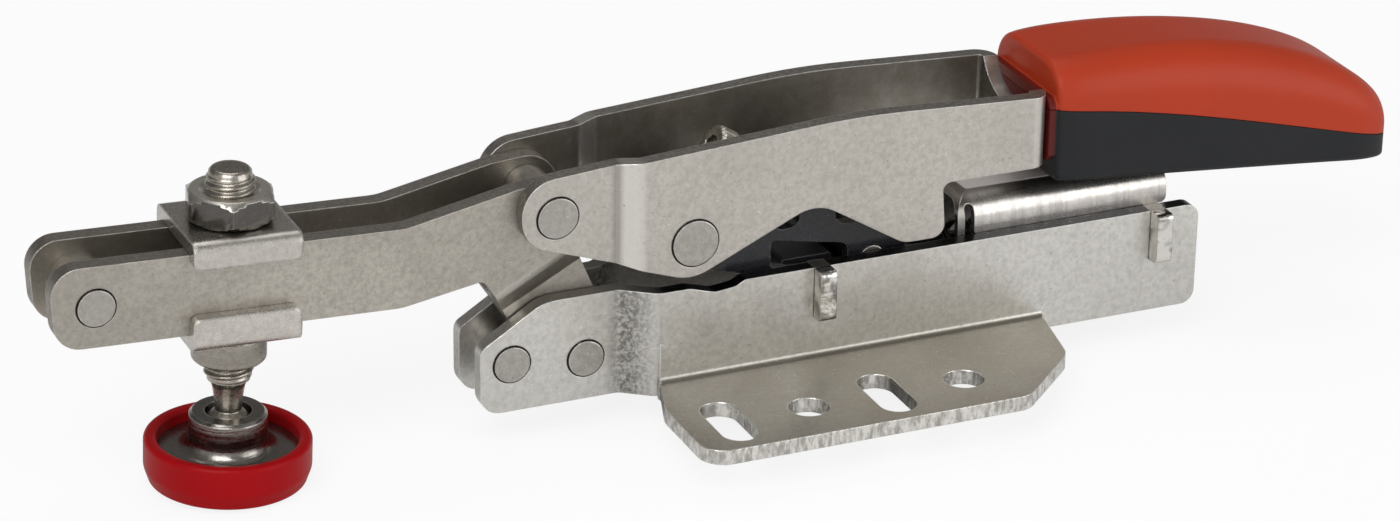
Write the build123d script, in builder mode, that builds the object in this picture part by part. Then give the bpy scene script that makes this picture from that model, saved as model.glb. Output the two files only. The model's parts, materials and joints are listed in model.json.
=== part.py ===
from build123d import *
import math
import os

os.makedirs("parts", exist_ok=True)

# Horizontal toggle clamp with a self-adjusting carriage.
# +X runs from the clamping pad to the hand grip, +Y to the right-hand side, +Z up.
# The origin lies on the mounting face, at the centre of the mounting holes.

# ---------------------------------------------------------------- driving dimensions
# Base: two mirrored plates, bent from sheet.
base_sheet = 2.5  # thickness of the base plates
base_front_gap = 6.9  # clear width between the walls at the nose
base_rear_gap = 14.6  # clear width between the walls behind the joggle
base_nose_x = -53.9
base_tail_x = 71.7
wall_height = 17.9
joggle_start_x = -30.2  # the walls step outwards between these two
joggle_end_x = -24.9
joggle_bend = 3.0  # inner bend radius of the joggle
nose_corner = 3.4
nose_lip_height = 11.2  # height of the upright front edge
nose_shoulder_x = -43.2  # where the sloping front meets the top edge
tail_corner = 2.4
notch_x = -15.6  # shallow dip that takes the lowered handle lobes
notch_depth = 1.3
notch_front_reach = 4.4
notch_rear_reach = 5.2

# Mounting flanges.
flange_front_x = -28.0
flange_rear_x = 43.2
flange_edge_y = 36.1
flange_bend = 0.8  # inner radius of the bend between wall and flange
flange_corner = 4.2
flange_rear_y = 24.5  # where the rear chamfer ends
flange_chamfer_x = 27.5  # where the rear chamfer starts
flange_relief_y = 18.8  # inside this the front edge slants back to the joggle
hole_radius = 3.3  # clears an M6 screw
hole_row_y = 26.8
hole_pitch = 27.2  # slot to slot, and hole to hole
slot_width = 6.2
slot_length = 14.2

# Cross plates that tie the rear walls together.
cross_plate = 2.8
cross_plate_depth = 8.6  # how far they reach down from the top edge
cross_plate_reach = 2.7  # how far their ends stand out of the walls
front_cross_x = 3.1
rear_cross_inset = 7.6  # from the rear plate's middle to the tail
tongue_rise = 3.7  # the carriage's tongue lies this far above the plates' lower edge
slot_clearance = 0.05

# Fixed pins of the base.
base_pin_radius = 3.25
pin_running_gap = 0.05  # radial, between a pin and what turns on it
nose_pin_x = -48.6
nose_pin_z = 8.1
arm_pivot_x = -36.1
arm_pivot_z = 7.0

# Clamping arm: two mirrored plates.
arm_sheet = 3.0
arm_slot = 8.3  # width of the slot between the plates
arm_leg_gap = 0.2  # the lower legs nearly meet
arm_tilt = 2.2  # degrees that the arm rises towards its nose
arm_nose_x = -122.7
arm_top_z = 36.9  # at the nose
arm_depth = 13.2  # of the slotted front
arm_crook_x = -66.2  # where the straight front ends and the edges start to rise
arm_shoulder_rise = 4.6  # height of the top edge over the handle pivot, in front of the lobe
arm_heel_x = -53.6  # corner between the front's lower edge and the leg
arm_heel_z = 23.85
arm_bend_x = -42.7  # a point on the lower fold line of the legs
arm_bend_z = 20.3
arm_bend_angle = 27.7  # degrees of the fold line
arm_fold_rise = 4.6  # height of the sloping part of the fold
arm_bend_radius = 1.8
arm_tip_pin_radius = 3.2
arm_tip_pin_x = -115.6
arm_tip_pin_z = 29.9

# Handle pivot (arm to handle) and link pivot (handle to link).
handle_pivot_x = -42.4
handle_pivot_z = 33.7
handle_pivot_radius = 3.6
arm_lobe_radius = 5.4
link_pivot_x = -19.9
link_pivot_z = 26.5
link_pivot_radius = 4.1

# Handle: one sheet folded to a U.
handle_sheet = 2.5
handle_front_gap = 14.5  # clear width at the lobes
handle_rear_gap = 18.06
handle_joggle_x = -32.3
handle_joggle_run = 3.6
handle_web_x = 42.4  # outer face of the rear web
handle_web_bend = 2.0
handle_lobe_radius = 5.9
handle_top_z = 41.8
handle_crown = 1.9  # how far the top edge arches
handle_dip = 0.6  # how much lower it is at the joggle
handle_rear_bottom_z = 29.8
foot_rear_x = 23.8
foot_front_x = 16.6
foot_z = 20.5
arch_x = 1.0
arch_z = 30.0
link_lobe_drop = 6.3  # lowest corner under the link pivot
web_notch_radius = 9.0
web_notch_depth = 5.0

# Link: two cheeks joined by a threaded bridge.
link_sheet = 2.0
link_width = 13.2  # outside
link_pin_radius = 2.5  # the rear pin, which rides in the carriage
link_rear_x = 13.4
link_rear_z = 16.3
link_lobe_radius = 5.4
link_shoulder_x = 3.6  # where the back leaves the front lobe, from its pivot
link_shoulder_z = 5.6
link_back_z = 23.9  # upper edge of the cheeks at the bridge
link_tail_x = 6.0  # end of the cheeks behind the rear pin
link_tail_z = 18.5
link_sole = 4.8  # lowest edge under the rear pin
bridge_front_x = 0.4
bridge_rear_x = 6.7
bridge_bottom_z = 22.4
bridge_top_z = 32.0
bridge_flare_front = 3.2  # how far its foot spreads along the cheeks
bridge_flare_rear = 3.8
window_front_x = -4.6  # window in each cheek
window_rear_x = 9.0
window_fall = 2.6  # its upper edge falls this much to the rear
window_height = 4.8

# Adjusting screw in the bridge.
screw_radius = 2.0
screw_gap = 0.05  # radial, in the bridge
screw_head_radius = 3.5
screw_head_height = 4.0
screw_socket = 1.6  # radius of the hexagon's corners
screw_socket_depth = 2.4
screw_angle = 33.0  # degrees that it falls towards the rear
screw_head_x = -12.5  # centre of the head's outer face
screw_head_z = 37.8
screw_length = 21.0

# Carriage in the base, with its rod and spring.
carriage_width = 7.4
carriage_front_x = -1.4
carriage_body_x = 5.0  # behind the front cross plate
carriage_rear_x = 27.8
carriage_floor_z = 3.2
carriage_top_z = 17.2
carriage_travel = 3.0
link_pin_drift = 8.2  # room behind the link's rear pin
pocket_margin = 0.45
pass_gap = 0.1  # between the carriage's tongue and the front cross plate
rod_radius = 2.0
rod_gap = 0.08
rod_z = 13.4
rod_tail = 2.5  # how far it stands out behind the rear cross plate
spring_radius = 3.6  # mean
spring_wire = 0.6  # radius of the wire
spring_turns = 7

# Cover over the spring.
cover_sheet = 1.2
cover_width = 14.2
cover_front_x = 28.5
cover_rear_reach = 2.8  # behind the middle of the rear cross plate
cover_bottom_z = 12.6
cover_top_z = 24.1
cover_bend = 3.4
loop_width = 1.7  # arched opening behind the front legs
loop_post = 1.3

# Grip, in two shells.
grip_length = 61.9
grip_width = 24.0
grip_top_z = 46.5  # highest point of the back
grip_peak = 8.1  # how far behind the front that point lies
grip_front_dip = 0.3  # how much lower the back is at the front
grip_fall = 22.0  # how far the back would fall along its quarter ellipse
grip_overhang = 2.4  # how far behind the rear face that curve would end
grip_belly_z = 26.4  # underside at the front
grip_toe_z = 21.0  # underside at the rear
grip_crown = 0.3  # radius of the top edges, as a share of the grip's height there
grip_keel = 0.08  # radius of the bottom edges, likewise
grip_front_round = 6.0  # how far behind the front the sides start to draw in
grip_front_draw = 0.6
grip_rear_round = 8.0
grip_rear_draw = 3.0
seam_front_z = 39.2  # the line between the two shells falls through these four
seam_mid_z = 36.6
seam_low_z = 29.8
seam_rear_z = 24.6
seam_mid = 15.0  # the second point lies this far behind the front
seam_low = 18.4  # the third lies this far before the rear
seam_overrun = 2.0  # the last lies beyond the rear
grip_steps = 8  # sections that the grip is lofted through, less one
grip_neck = 2.5  # length of the narrower neck behind the handle's web
neck_width = 21.6
neck_bottom_z = 30.0
neck_top_z = 41.0

# Spindle and its fastenings. The spindle axis is square to the arm.
spindle_x = -92.7  # where the axis crosses the arm's lower edge
spindle_radius = 3.9
spindle_gap = 0.05  # radial, between thread and nuts
spindle_proud = 3.4  # above the nut
spindle_foot = 12.0  # threaded length below the arm's lower edge
saddle_length = 17.2
saddle_half_width = 9.4
top_saddle_sheet = 2.3
low_saddle_sheet = 2.2
saddle_gap = 0.06  # to the arm, on every side
top_lip_drop = 1.9
low_lip_rise = 3.4
nut_across_flats = 13.0
nut_height = 4.8
nut_turn = 15.8
collar_radius = 6.0
collar_height = 3.4
collar_cone = 2.7
collar_foot_radius = 4.4
neck_radius = 2.6
neck_foot_radius = 2.1
ball_radius = 4.3
ball_drop = 20.3  # its centre, below the arm's lower edge
ball_gap = 0.06

# Pressure pad, all depths below the arm's lower edge.
cup_radius = 6.1
cup_mouth = 3.7
cup_top = 16.8
cup_flare = 2.2  # radius of the hollow where the cup runs out into the disc
disc_radius = 11.0
disc_top = 23.0
disc_bottom = 26.6
cap_radius = 13.1
cap_top = 20.9
cap_bottom = 28.1
cap_taper = 0.8

# ---------------------------------------------------------------- derived places
base_front_outer = base_front_gap / 2 + base_sheet
base_rear_outer = base_rear_gap / 2 + base_sheet
arm_outer = arm_slot / 2 + arm_sheet
handle_front_outer = handle_front_gap / 2 + handle_sheet
handle_rear_outer = handle_rear_gap / 2 + handle_sheet
tilt = math.radians(arm_tilt)


def xz(x, z, y=0.0):
    """A vertical sketch plane, square to Y, at a point of the side view."""
    return Plane(origin=(x, y, z), x_dir=(1, 0, 0), z_dir=(0, -1, 0))


def arm_edge(x, depth=0.0):
    """A point of the arm's straight front, at a depth below its top edge."""
    return (x, arm_top_z - (x - arm_nose_x) * math.tan(tilt) - depth / math.cos(tilt))


def on_spindle(height, along=0.0):
    """A sketch plane square to the spindle, at a height above the arm's lower edge."""
    x = spindle_x + height * math.sin(tilt) + along * math.cos(tilt)
    z = arm_edge(spindle_x, arm_depth)[1] + height * math.cos(tilt) - along * math.sin(tilt)
    return Plane(
        origin=(x, 0, z),
        x_dir=(math.cos(tilt), 0, -math.sin(tilt)),
        z_dir=(math.sin(tilt), 0, math.cos(tilt)),
    )


def through_spindle(y=0.0):
    """A sketch plane that holds the spindle axis: x along the arm, y up the spindle."""
    x, z = arm_edge(spindle_x, arm_depth)
    return Plane(
        origin=(x, y, z), x_dir=(math.cos(tilt), 0, -math.sin(tilt)), z_dir=(0, -1, 0)
    )


def outline(points, radii):
    """A closed outline with one radius for each corner, as an edge loop for a sketch."""
    FilletPolyline(*points, radius=radii, close=True)


def mirrored(solid, label):
    """The right-hand twin of a left-hand piece."""
    with BuildPart() as twin:
        mirror(solid, about=Plane.XZ)
    twin.part.label = label
    return twin.part


# ---------------------------------------------------------------- base plates
wall_reach = 4 * wall_height
nose_mid = base_front_gap / 2 + base_sheet / 2
tail_mid = base_rear_gap / 2 + base_sheet / 2
hole_xs = [-hole_pitch / 4, 3 * hole_pitch / 4]
slot_xs = [-3 * hole_pitch / 4, hole_pitch / 4]
flange_flat_y = base_rear_outer + flange_bend  # where the bend ends
rear_cross_x = base_tail_x - rear_cross_inset

with BuildPart() as base_plate_left:
    # The joggled wall, seen from above, is cut to its side outline.
    with BuildSketch(Plane.XY) as wall_plan:
        with BuildLine() as wall_path:
            FilletPolyline(
                (base_nose_x, -nose_mid),
                (joggle_start_x, -nose_mid),
                (joggle_end_x, -tail_mid),
                (base_tail_x, -tail_mid),
                radius=joggle_bend,
            )
        trace(line_width=base_sheet)
    extrude(amount=wall_height + notch_depth)
    with BuildSketch(Plane.XZ):
        with BuildLine():
            outline(
                [
                    (base_nose_x, 0),
                    (base_nose_x, nose_lip_height),
                    (nose_shoulder_x, wall_height),
                    (notch_x - notch_front_reach, wall_height),
                    (notch_x, wall_height - notch_depth),
                    (notch_x + notch_rear_reach * 0.7, wall_height - notch_depth * 0.7),
                    (notch_x + notch_rear_reach, wall_height),
                    (base_tail_x, wall_height),
                    (base_tail_x, 0),
                ],
                [nose_corner, 2.0, 7.0, 4.0, 3.0, 2.0, 1.0, tail_corner, tail_corner],
            )
        make_face()
    extrude(amount=wall_reach, mode=Mode.INTERSECT)
    # The flange leaves the wall through a bend, behind the joggle.
    with BuildSketch(Plane.YZ.offset(joggle_end_x)):
        with BuildLine():
            FilletPolyline(
                (-base_rear_outer + base_sheet / 2, wall_height / 2),
                (-base_rear_outer + base_sheet / 2, base_sheet / 2),
                (-flange_edge_y, base_sheet / 2),
                radius=flange_bend + base_sheet / 2,
            )
        trace(line_width=base_sheet)
    extrude(amount=flange_rear_x - joggle_end_x)
    with BuildSketch(Plane.XY):
        with Locations(((flange_front_x + joggle_end_x) / 2, -(flange_flat_y + flange_edge_y) / 2)):
            Rectangle(joggle_end_x - flange_front_x, flange_edge_y - flange_flat_y)
    extrude(amount=base_sheet)
    # The bend rounds the wall's inner foot along the flange.
    with BuildSketch(Plane.YZ.offset(joggle_end_x)):
        with BuildLine():
            inner_y = -base_rear_gap / 2
            bend_out = flange_bend + base_sheet
            Polyline((inner_y - bend_out, 0), (inner_y, 0), (inner_y, bend_out))
            RadiusArc((inner_y, bend_out), (inner_y - bend_out, 0), bend_out)
        make_face()
    extrude(amount=flange_rear_x - joggle_end_x, mode=Mode.SUBTRACT)
    # Everything outside the flange's own outline is trimmed away.
    with BuildSketch(Plane.XY) as flange_trim:
        with BuildLine():
            outline(
                [
                    (base_nose_x - 1, base_front_gap),
                    (base_nose_x - 1, -base_rear_outer),
                    (joggle_end_x, -base_rear_outer),
                    (flange_front_x, -flange_relief_y),
                    (flange_front_x, -flange_edge_y),
                    (flange_chamfer_x, -flange_edge_y),
                    (flange_rear_x - 3, -flange_rear_y),
                    (flange_rear_x, -base_rear_outer),
                    (base_tail_x + 1, -base_rear_outer),
                    (base_tail_x + 1, base_front_gap),
                ],
                [1, 1, 1.5, 6, flange_corner, 4, 5, 1, 1, 1],
            )
        make_face()
    extrude(amount=wall_reach, mode=Mode.INTERSECT)
    # Round holes and slots alternate along the flange.
    with BuildSketch(Plane.XY):
        with Locations(*[(x, -hole_row_y) for x in hole_xs]):
            Circle(hole_radius)
        with Locations(*[(x, -hole_row_y) for x in slot_xs]):
            SlotOverall(slot_length, slot_width, rotation=90)
    extrude(amount=base_sheet * 2, mode=Mode.SUBTRACT)
    # Pin holes and the two seats of the cross plates.
    with BuildSketch(Plane.XZ):
        with Locations((nose_pin_x, nose_pin_z), (arm_pivot_x, arm_pivot_z)):
            Circle(base_pin_radius)
        with Locations((front_cross_x, wall_height), (rear_cross_x, wall_height)):
            Rectangle(cross_plate, 2 * cross_plate_depth)
    extrude(amount=wall_reach, mode=Mode.SUBTRACT)
base_plate_left.part.label = "base_plate_left"
export_step(base_plate_left.part, "parts/base_plate_left.step")
export_step(mirrored(base_plate_left.part, "base_plate_right"), "parts/base_plate_right.step")

# ---------------------------------------------------------------- base pins
head_proud = 0.25

with BuildPart() as nose_pin:
    with BuildSketch(xz(nose_pin_x, nose_pin_z, -base_front_outer - head_proud)):
        Circle(base_pin_radius)
    extrude(amount=-2 * (base_front_outer + head_proud))
    chamfer(nose_pin.edges().filter_by(GeomType.CIRCLE), 0.3)
nose_pin.part.label = "nose_pin"
export_step(nose_pin.part, "parts/nose_pin.step")

with BuildPart() as arm_pivot_pin:
    with BuildSketch(xz(arm_pivot_x, arm_pivot_z, -base_front_outer - head_proud)):
        Circle(base_pin_radius)
    extrude(amount=-2 * (base_front_outer + head_proud))
    chamfer(arm_pivot_pin.edges().filter_by(GeomType.CIRCLE), 0.3)
arm_pivot_pin.part.label = "arm_pivot_pin"
export_step(arm_pivot_pin.part, "parts/arm_pivot_pin.step")


# ---------------------------------------------------------------- cross plates
cross_half = base_rear_outer + cross_plate_reach
cross_foot_z = wall_height - cross_plate_depth
tongue_z = cross_foot_z + tongue_rise

with BuildPart() as front_cross_plate:
    with BuildSketch(Plane.YZ.offset(front_cross_x - cross_plate / 2)) as front_cross_face:
        with Locations((0, wall_height - cross_plate_depth / 2)):
            Rectangle(2 * cross_half, cross_plate_depth)
        fillet(front_cross_face.vertices(), 0.9)
        # The link and the carriage's tongue pass over its low middle.
        with Locations((0, wall_height)):
            Rectangle(
                base_rear_gap - 0.8,
                2 * (wall_height - tongue_z + pass_gap),
                mode=Mode.SUBTRACT,
            )
    extrude(amount=cross_plate)
front_cross_plate.part.label = "front_cross_plate"
export_step(front_cross_plate.part, "parts/front_cross_plate.step")

with BuildPart() as rear_cross_plate:
    with BuildSketch(Plane.YZ.offset(rear_cross_x - cross_plate / 2)) as rear_cross_face:
        with Locations((0, wall_height - cross_plate_depth / 2)):
            Rectangle(2 * cross_half, cross_plate_depth)
        fillet(rear_cross_face.vertices(), 0.9)
        with Locations((0, rod_z)):
            Circle(rod_radius + rod_gap, mode=Mode.SUBTRACT)
    extrude(amount=cross_plate)
rear_cross_plate.part.label = "rear_cross_plate"
export_step(rear_cross_plate.part, "parts/rear_cross_plate.step")

# ---------------------------------------------------------------- arm plates
with BuildPart() as arm_plate_left:
    # The fold: an upright strip, a slope and an upright leg, drawn square to the fold line.
    fold = math.radians(arm_bend_angle)
    fold_plane = Plane(
        origin=(arm_bend_x, 0, arm_bend_z),
        x_dir=(-math.sin(fold), 0, math.cos(fold)),
        z_dir=(math.cos(fold), 0, math.sin(fold)),
    )
    leg_mid = arm_leg_gap / 2 + arm_sheet / 2
    plate_mid = arm_slot / 2 + arm_sheet / 2
    with BuildSketch(fold_plane):
        with BuildLine():
            FilletPolyline(
                (-60, leg_mid),
                (0, leg_mid),
                (arm_fold_rise, plate_mid),
                (80, plate_mid),
                radius=arm_bend_radius,
            )
        trace(line_width=arm_sheet)
    extrude(amount=140, both=True)
    with BuildSketch(Plane.XZ):
        with BuildLine():
            outline(
                [
                    arm_edge(arm_nose_x),
                    arm_edge(arm_crook_x),
                    (handle_pivot_x - arm_lobe_radius, handle_pivot_z + arm_shoulder_rise),
                    (handle_pivot_x + arm_lobe_radius, handle_pivot_z + arm_lobe_radius),
                    (handle_pivot_x + arm_lobe_radius, 25.6),
                    (arm_pivot_x + 8.1, arm_pivot_z - 2.6),
                    (arm_pivot_x - 2.6, arm_pivot_z - 8.1),
                    (arm_heel_x, arm_heel_z),
                    arm_edge(arm_crook_x - 1.0, arm_depth),
                    arm_edge(arm_nose_x + 0.6, arm_depth),
                ],
                [4.5, 10, 12, 5.3, 3, 5.8, 5.8, 1.5, 10, 4.5],
            )
        make_face()
    extrude(amount=2 * arm_outer, mode=Mode.INTERSECT)
    with BuildSketch(Plane.XZ):
        with Locations((arm_pivot_x, arm_pivot_z)):
            Circle(base_pin_radius + pin_running_gap)
        with Locations((handle_pivot_x, handle_pivot_z)):
            Circle(handle_pivot_radius + pin_running_gap)
        with Locations((arm_tip_pin_x, arm_tip_pin_z)):
            Circle(arm_tip_pin_radius)
    extrude(amount=2 * arm_outer, mode=Mode.SUBTRACT)
arm_plate_left.part.label = "arm_plate_left"
export_step(arm_plate_left.part, "parts/arm_plate_left.step")
export_step(mirrored(arm_plate_left.part, "arm_plate_right"), "parts/arm_plate_right.step")

with BuildPart() as arm_tip_rivet:
    with BuildSketch(xz(arm_tip_pin_x, arm_tip_pin_z, -arm_outer - head_proud)):
        Circle(arm_tip_pin_radius)
    extrude(amount=-2 * (arm_outer + head_proud))
    with BuildSketch(xz(arm_tip_pin_x, arm_tip_pin_z, -arm_slot / 2)):
        Circle(arm_tip_pin_radius + 1.3)
    extrude(amount=-arm_slot)
    chamfer(arm_tip_rivet.faces().filter_by(Axis.Y).group_by(Axis.Y)[0].edges(), 0.3)
    chamfer(arm_tip_rivet.faces().filter_by(Axis.Y).group_by(Axis.Y)[-1].edges(), 0.3)
arm_tip_rivet.part.label = "arm_tip_rivet"
export_step(arm_tip_rivet.part, "parts/arm_tip_rivet.step")

# ---------------------------------------------------------------- handle bracket
front_mid = handle_front_gap / 2 + handle_sheet / 2
rear_mid = handle_rear_gap / 2 + handle_sheet / 2
web_mid = handle_web_x - handle_sheet / 2
lobe_front_x = handle_pivot_x - handle_lobe_radius
handle_joggle_end = handle_joggle_x + handle_joggle_run

with BuildPart() as handle_bracket:
    with BuildSketch(Plane.XY.offset(foot_z - 2)):
        with BuildLine():
            FilletPolyline(
                (lobe_front_x - 2, -front_mid),
                (handle_joggle_x, -front_mid),
                (handle_joggle_end, -rear_mid),
                (web_mid, -rear_mid),
                (web_mid, rear_mid),
                (handle_joggle_end, rear_mid),
                (handle_joggle_x, front_mid),
                (lobe_front_x - 2, front_mid),
                radius=handle_web_bend,
            )
        trace(line_width=handle_sheet)
    extrude(amount=handle_top_z + handle_crown - foot_z + 4)
    with BuildSketch(Plane.XZ.offset(-handle_rear_outer)):
        with BuildLine():
            outline(
                [
                    (lobe_front_x, handle_pivot_z + handle_lobe_radius + 0.3),
                    (handle_joggle_x + 1.3, handle_top_z - handle_dip),
                    (8.0, handle_top_z + handle_crown),
                    (handle_web_x + 1, handle_top_z),
                    (handle_web_x + 1, handle_rear_bottom_z),
                    (foot_rear_x - 0.6, handle_rear_bottom_z),
                    (foot_rear_x + 0.1, foot_z),
                    (foot_front_x, foot_z),
                    (arch_x, arch_z),
                    (link_pivot_x - 0.5, link_pivot_z - link_lobe_drop),
                    (lobe_front_x, 29.9),
                ],
                [5.8, 60, 140, 0.4, 0.4, 1.4, 2.2, 5, 7, 7.5, 5.6],
            )
        make_face()
    extrude(amount=2 * handle_rear_outer, mode=Mode.INTERSECT)
    with BuildSketch(Plane.XZ.offset(-handle_rear_outer)):
        with Locations((handle_pivot_x, handle_pivot_z)):
            Circle(handle_pivot_radius)
        with Locations((link_pivot_x, link_pivot_z)):
            Circle(link_pivot_radius)
    extrude(amount=2 * handle_rear_outer, mode=Mode.SUBTRACT)
    # A rounded bite in the web's top edge.
    with BuildSketch(Plane.YZ.offset(web_mid - handle_sheet)):
        with Locations((0, handle_top_z + web_notch_radius - web_notch_depth)):
            Circle(web_notch_radius)
    extrude(amount=3 * handle_sheet, mode=Mode.SUBTRACT)
handle_bracket.part.label = "handle_bracket"
export_step(handle_bracket.part, "parts/handle_bracket.step")

with BuildPart() as handle_pivot_pin:
    with BuildSketch(xz(handle_pivot_x, handle_pivot_z, -handle_front_outer - head_proud)):
        Circle(handle_pivot_radius)
    extrude(amount=-2 * (handle_front_outer + head_proud))
    chamfer(handle_pivot_pin.edges().filter_by(GeomType.CIRCLE), 0.3)
handle_pivot_pin.part.label = "handle_pivot_pin"
export_step(handle_pivot_pin.part, "parts/handle_pivot_pin.step")

with BuildPart() as link_pivot_pin:
    with BuildSketch(xz(link_pivot_x, link_pivot_z, -handle_rear_outer - head_proud)):
        Circle(link_pivot_radius)
    extrude(amount=-2 * (handle_rear_outer + head_proud))
    chamfer(link_pivot_pin.edges().filter_by(GeomType.CIRCLE), 0.3)
link_pivot_pin.part.label = "link_pivot_pin"
export_step(link_pivot_pin.part, "parts/link_pivot_pin.step")

# ---------------------------------------------------------------- link
link_outer = link_width / 2
link_inner = link_outer - link_sheet
link_fall = math.atan2(link_pivot_z - link_rear_z, link_rear_x - link_pivot_x)
link_under = link_lobe_radius / math.cos(link_fall)

with BuildPart() as link_lever:
    with BuildSketch(Plane.XZ.offset(-link_outer)):
        with BuildLine():
            outline(
                [
                    (link_pivot_x - link_lobe_radius, link_pivot_z + link_lobe_radius),
                    (link_pivot_x + link_shoulder_x, link_pivot_z + link_shoulder_z),
                    (bridge_front_x - bridge_flare_front, link_back_z),
                    (bridge_front_x, link_back_z + 0.3),
                    (bridge_front_x, bridge_top_z),
                    (bridge_rear_x, bridge_top_z),
                    (bridge_rear_x, link_back_z - 0.6),
                    (bridge_rear_x + bridge_flare_rear, link_back_z - 0.7),
                    (link_rear_x + link_tail_x, link_tail_z),
                    (link_rear_x + link_tail_x - 0.8, link_rear_z - 2.0),
                    (link_rear_x + 1.5, link_rear_z - link_sole),
                    (link_rear_x - link_pin_radius - 0.1, link_rear_z - link_sole),
                    (link_pivot_x - 1.0, link_pivot_z - link_under),
                    (link_pivot_x - link_lobe_radius, link_pivot_z - 3.0),
                ],
                [5.2, 5.0, 1.6, 1.6, 1.5, 1.5, 1.5, 1.0, 0.8, 1.5, 2.0, 2.0, 5.2, 2.0],
            )
        make_face()
    extrude(amount=link_width)
    # Between the cheeks only the bridge is left.
    with BuildSketch(Plane.XZ.offset(-link_inner)):
        with Locations((link_pivot_x, link_pivot_z)):
            Rectangle(4 * link_width, 8 * link_width)
        with Locations(((link_rear_x + bridge_rear_x) / 2 + 8, link_rear_z)):
            Rectangle(2 * link_width, 6 * link_width)
        with Locations(((bridge_front_x + bridge_rear_x) / 2, (bridge_bottom_z + bridge_top_z) / 2)):
            Rectangle(
                bridge_rear_x - bridge_front_x,
                bridge_top_z - bridge_bottom_z,
                mode=Mode.SUBTRACT,
            )
    extrude(amount=2 * link_inner, mode=Mode.SUBTRACT)
    # A long window in each cheek, and the pivot holes.
    with BuildSketch(Plane.XZ.offset(-link_outer)):
        with BuildLine():
            outline(
                [
                    (window_front_x, bridge_bottom_z),
                    (window_rear_x, bridge_bottom_z - window_fall),
                    (window_rear_x, bridge_bottom_z - window_fall - window_height),
                    (window_front_x, bridge_bottom_z - window_height),
                ],
                [0.8, 1.5, 1.2, 0.8],
            )
        make_face()
        with Locations((link_pivot_x, link_pivot_z)):
            Circle(link_pivot_radius + pin_running_gap)
        with Locations((link_rear_x, link_rear_z)):
            Circle(link_pin_radius)
    extrude(amount=link_width, mode=Mode.SUBTRACT)
    # The thread for the adjusting screw.
    fall = math.radians(screw_angle)
    screw_plane = Plane(
        origin=(screw_head_x, 0, screw_head_z),
        x_dir=(0, 1, 0),
        z_dir=(math.cos(fall), 0, -math.sin(fall)),
    )
    with BuildSketch(screw_plane):
        Circle(screw_radius + screw_gap)
    extrude(amount=2 * screw_length, mode=Mode.SUBTRACT)
link_lever.part.label = "link_lever"
export_step(link_lever.part, "parts/link_lever.step")

with BuildPart() as link_rear_pin:
    with BuildSketch(xz(link_rear_x, link_rear_z, -link_outer)):
        Circle(link_pin_radius)
    extrude(amount=-link_width)
    chamfer(link_rear_pin.edges().filter_by(GeomType.CIRCLE), 0.3)
link_rear_pin.part.label = "link_rear_pin"
export_step(link_rear_pin.part, "parts/link_rear_pin.step")

with BuildPart() as adjusting_screw:
    with BuildSketch(screw_plane):
        Circle(screw_head_radius)
    extrude(amount=screw_head_height)
    chamfer(adjusting_screw.edges().filter_by(GeomType.CIRCLE), 0.35)
    with BuildSketch(screw_plane.offset(screw_head_height)):
        Circle(screw_radius)
    extrude(amount=screw_length - screw_head_height)
    with BuildSketch(screw_plane):
        RegularPolygon(screw_socket, 6)
    extrude(amount=screw_socket_depth, mode=Mode.SUBTRACT)
adjusting_screw.part.label = "adjusting_screw"
export_step(adjusting_screw.part, "parts/adjusting_screw.step")

# ---------------------------------------------------------------- carriage
pocket_front_x = link_rear_x - link_pin_radius - pocket_margin - carriage_travel
pocket_rear_x = link_rear_x + link_pin_radius + pocket_margin + link_pin_drift
pocket_floor_z = link_rear_z - link_pin_radius - pocket_margin

with BuildPart() as carriage_block:
    with BuildSketch(Plane.XZ.offset(-carriage_width / 2)):
        with BuildLine():
            outline(
                [
                    (carriage_front_x, carriage_top_z),
                    (pocket_front_x, carriage_top_z),
                    (pocket_front_x, pocket_floor_z),
                    (pocket_rear_x, pocket_floor_z),
                    (pocket_rear_x, carriage_top_z),
                    (carriage_rear_x, carriage_top_z),
                    (carriage_rear_x, carriage_floor_z),
                    (carriage_body_x, carriage_floor_z),
                    (carriage_body_x, tongue_z),
                    (carriage_front_x, tongue_z),
                ],
                [0.8, 0.4, 1.2, 1.2, 0.4, 0.8, 1.5, 1.5, 0.3, 0.8],
            )
        make_face()
    extrude(amount=carriage_width)
    with BuildSketch(Plane.YZ.offset(carriage_rear_x)):
        with Locations((0, rod_z)):
            Circle(rod_radius)
    extrude(amount=-(carriage_rear_x - pocket_rear_x - 0.6), mode=Mode.SUBTRACT)
carriage_block.part.label = "carriage_block"
export_step(carriage_block.part, "parts/carriage_block.step")

rod_front_x = pocket_rear_x + 0.6
rod_rear_x = rear_cross_x + cross_plate / 2 + rod_tail

with BuildPart() as guide_rod:
    with BuildSketch(Plane.YZ.offset(rod_front_x)):
        with Locations((0, rod_z)):
            Circle(rod_radius)
    extrude(amount=rod_rear_x - rod_front_x)
    chamfer(guide_rod.faces().sort_by(Axis.X)[-1].edges(), 0.4)
guide_rod.part.label = "guide_rod"
export_step(guide_rod.part, "parts/guide_rod.step")

spring_front_x = carriage_rear_x + spring_wire + 0.05
spring_rear_x = rear_cross_x - cross_plate / 2 - carriage_travel - spring_wire - 0.1
spring_length = spring_rear_x - spring_front_x

with BuildPart() as return_spring:
    with BuildLine() as spring_path:
        Helix(
            pitch=spring_length / spring_turns,
            height=spring_length,
            radius=spring_radius,
            center=(spring_front_x, 0, rod_z),
            direction=(1, 0, 0),
        )
    with BuildSketch(Plane(origin=spring_path.line @ 0, z_dir=spring_path.line % 0)):
        Circle(spring_wire)
    sweep()
return_spring.part.label = "return_spring"
export_step(return_spring.part, "parts/return_spring.step")

# ---------------------------------------------------------------- cover
cover_half = cover_width / 2
cover_rear_x = rear_cross_x + cover_rear_reach
cover_edge_z = wall_height  # the sides rest on the rear cross plate
arch_front_x = cover_front_x + loop_post
arch_rear_x = arch_front_x + loop_width
arch_crown_z = cover_top_z - loop_post

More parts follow.
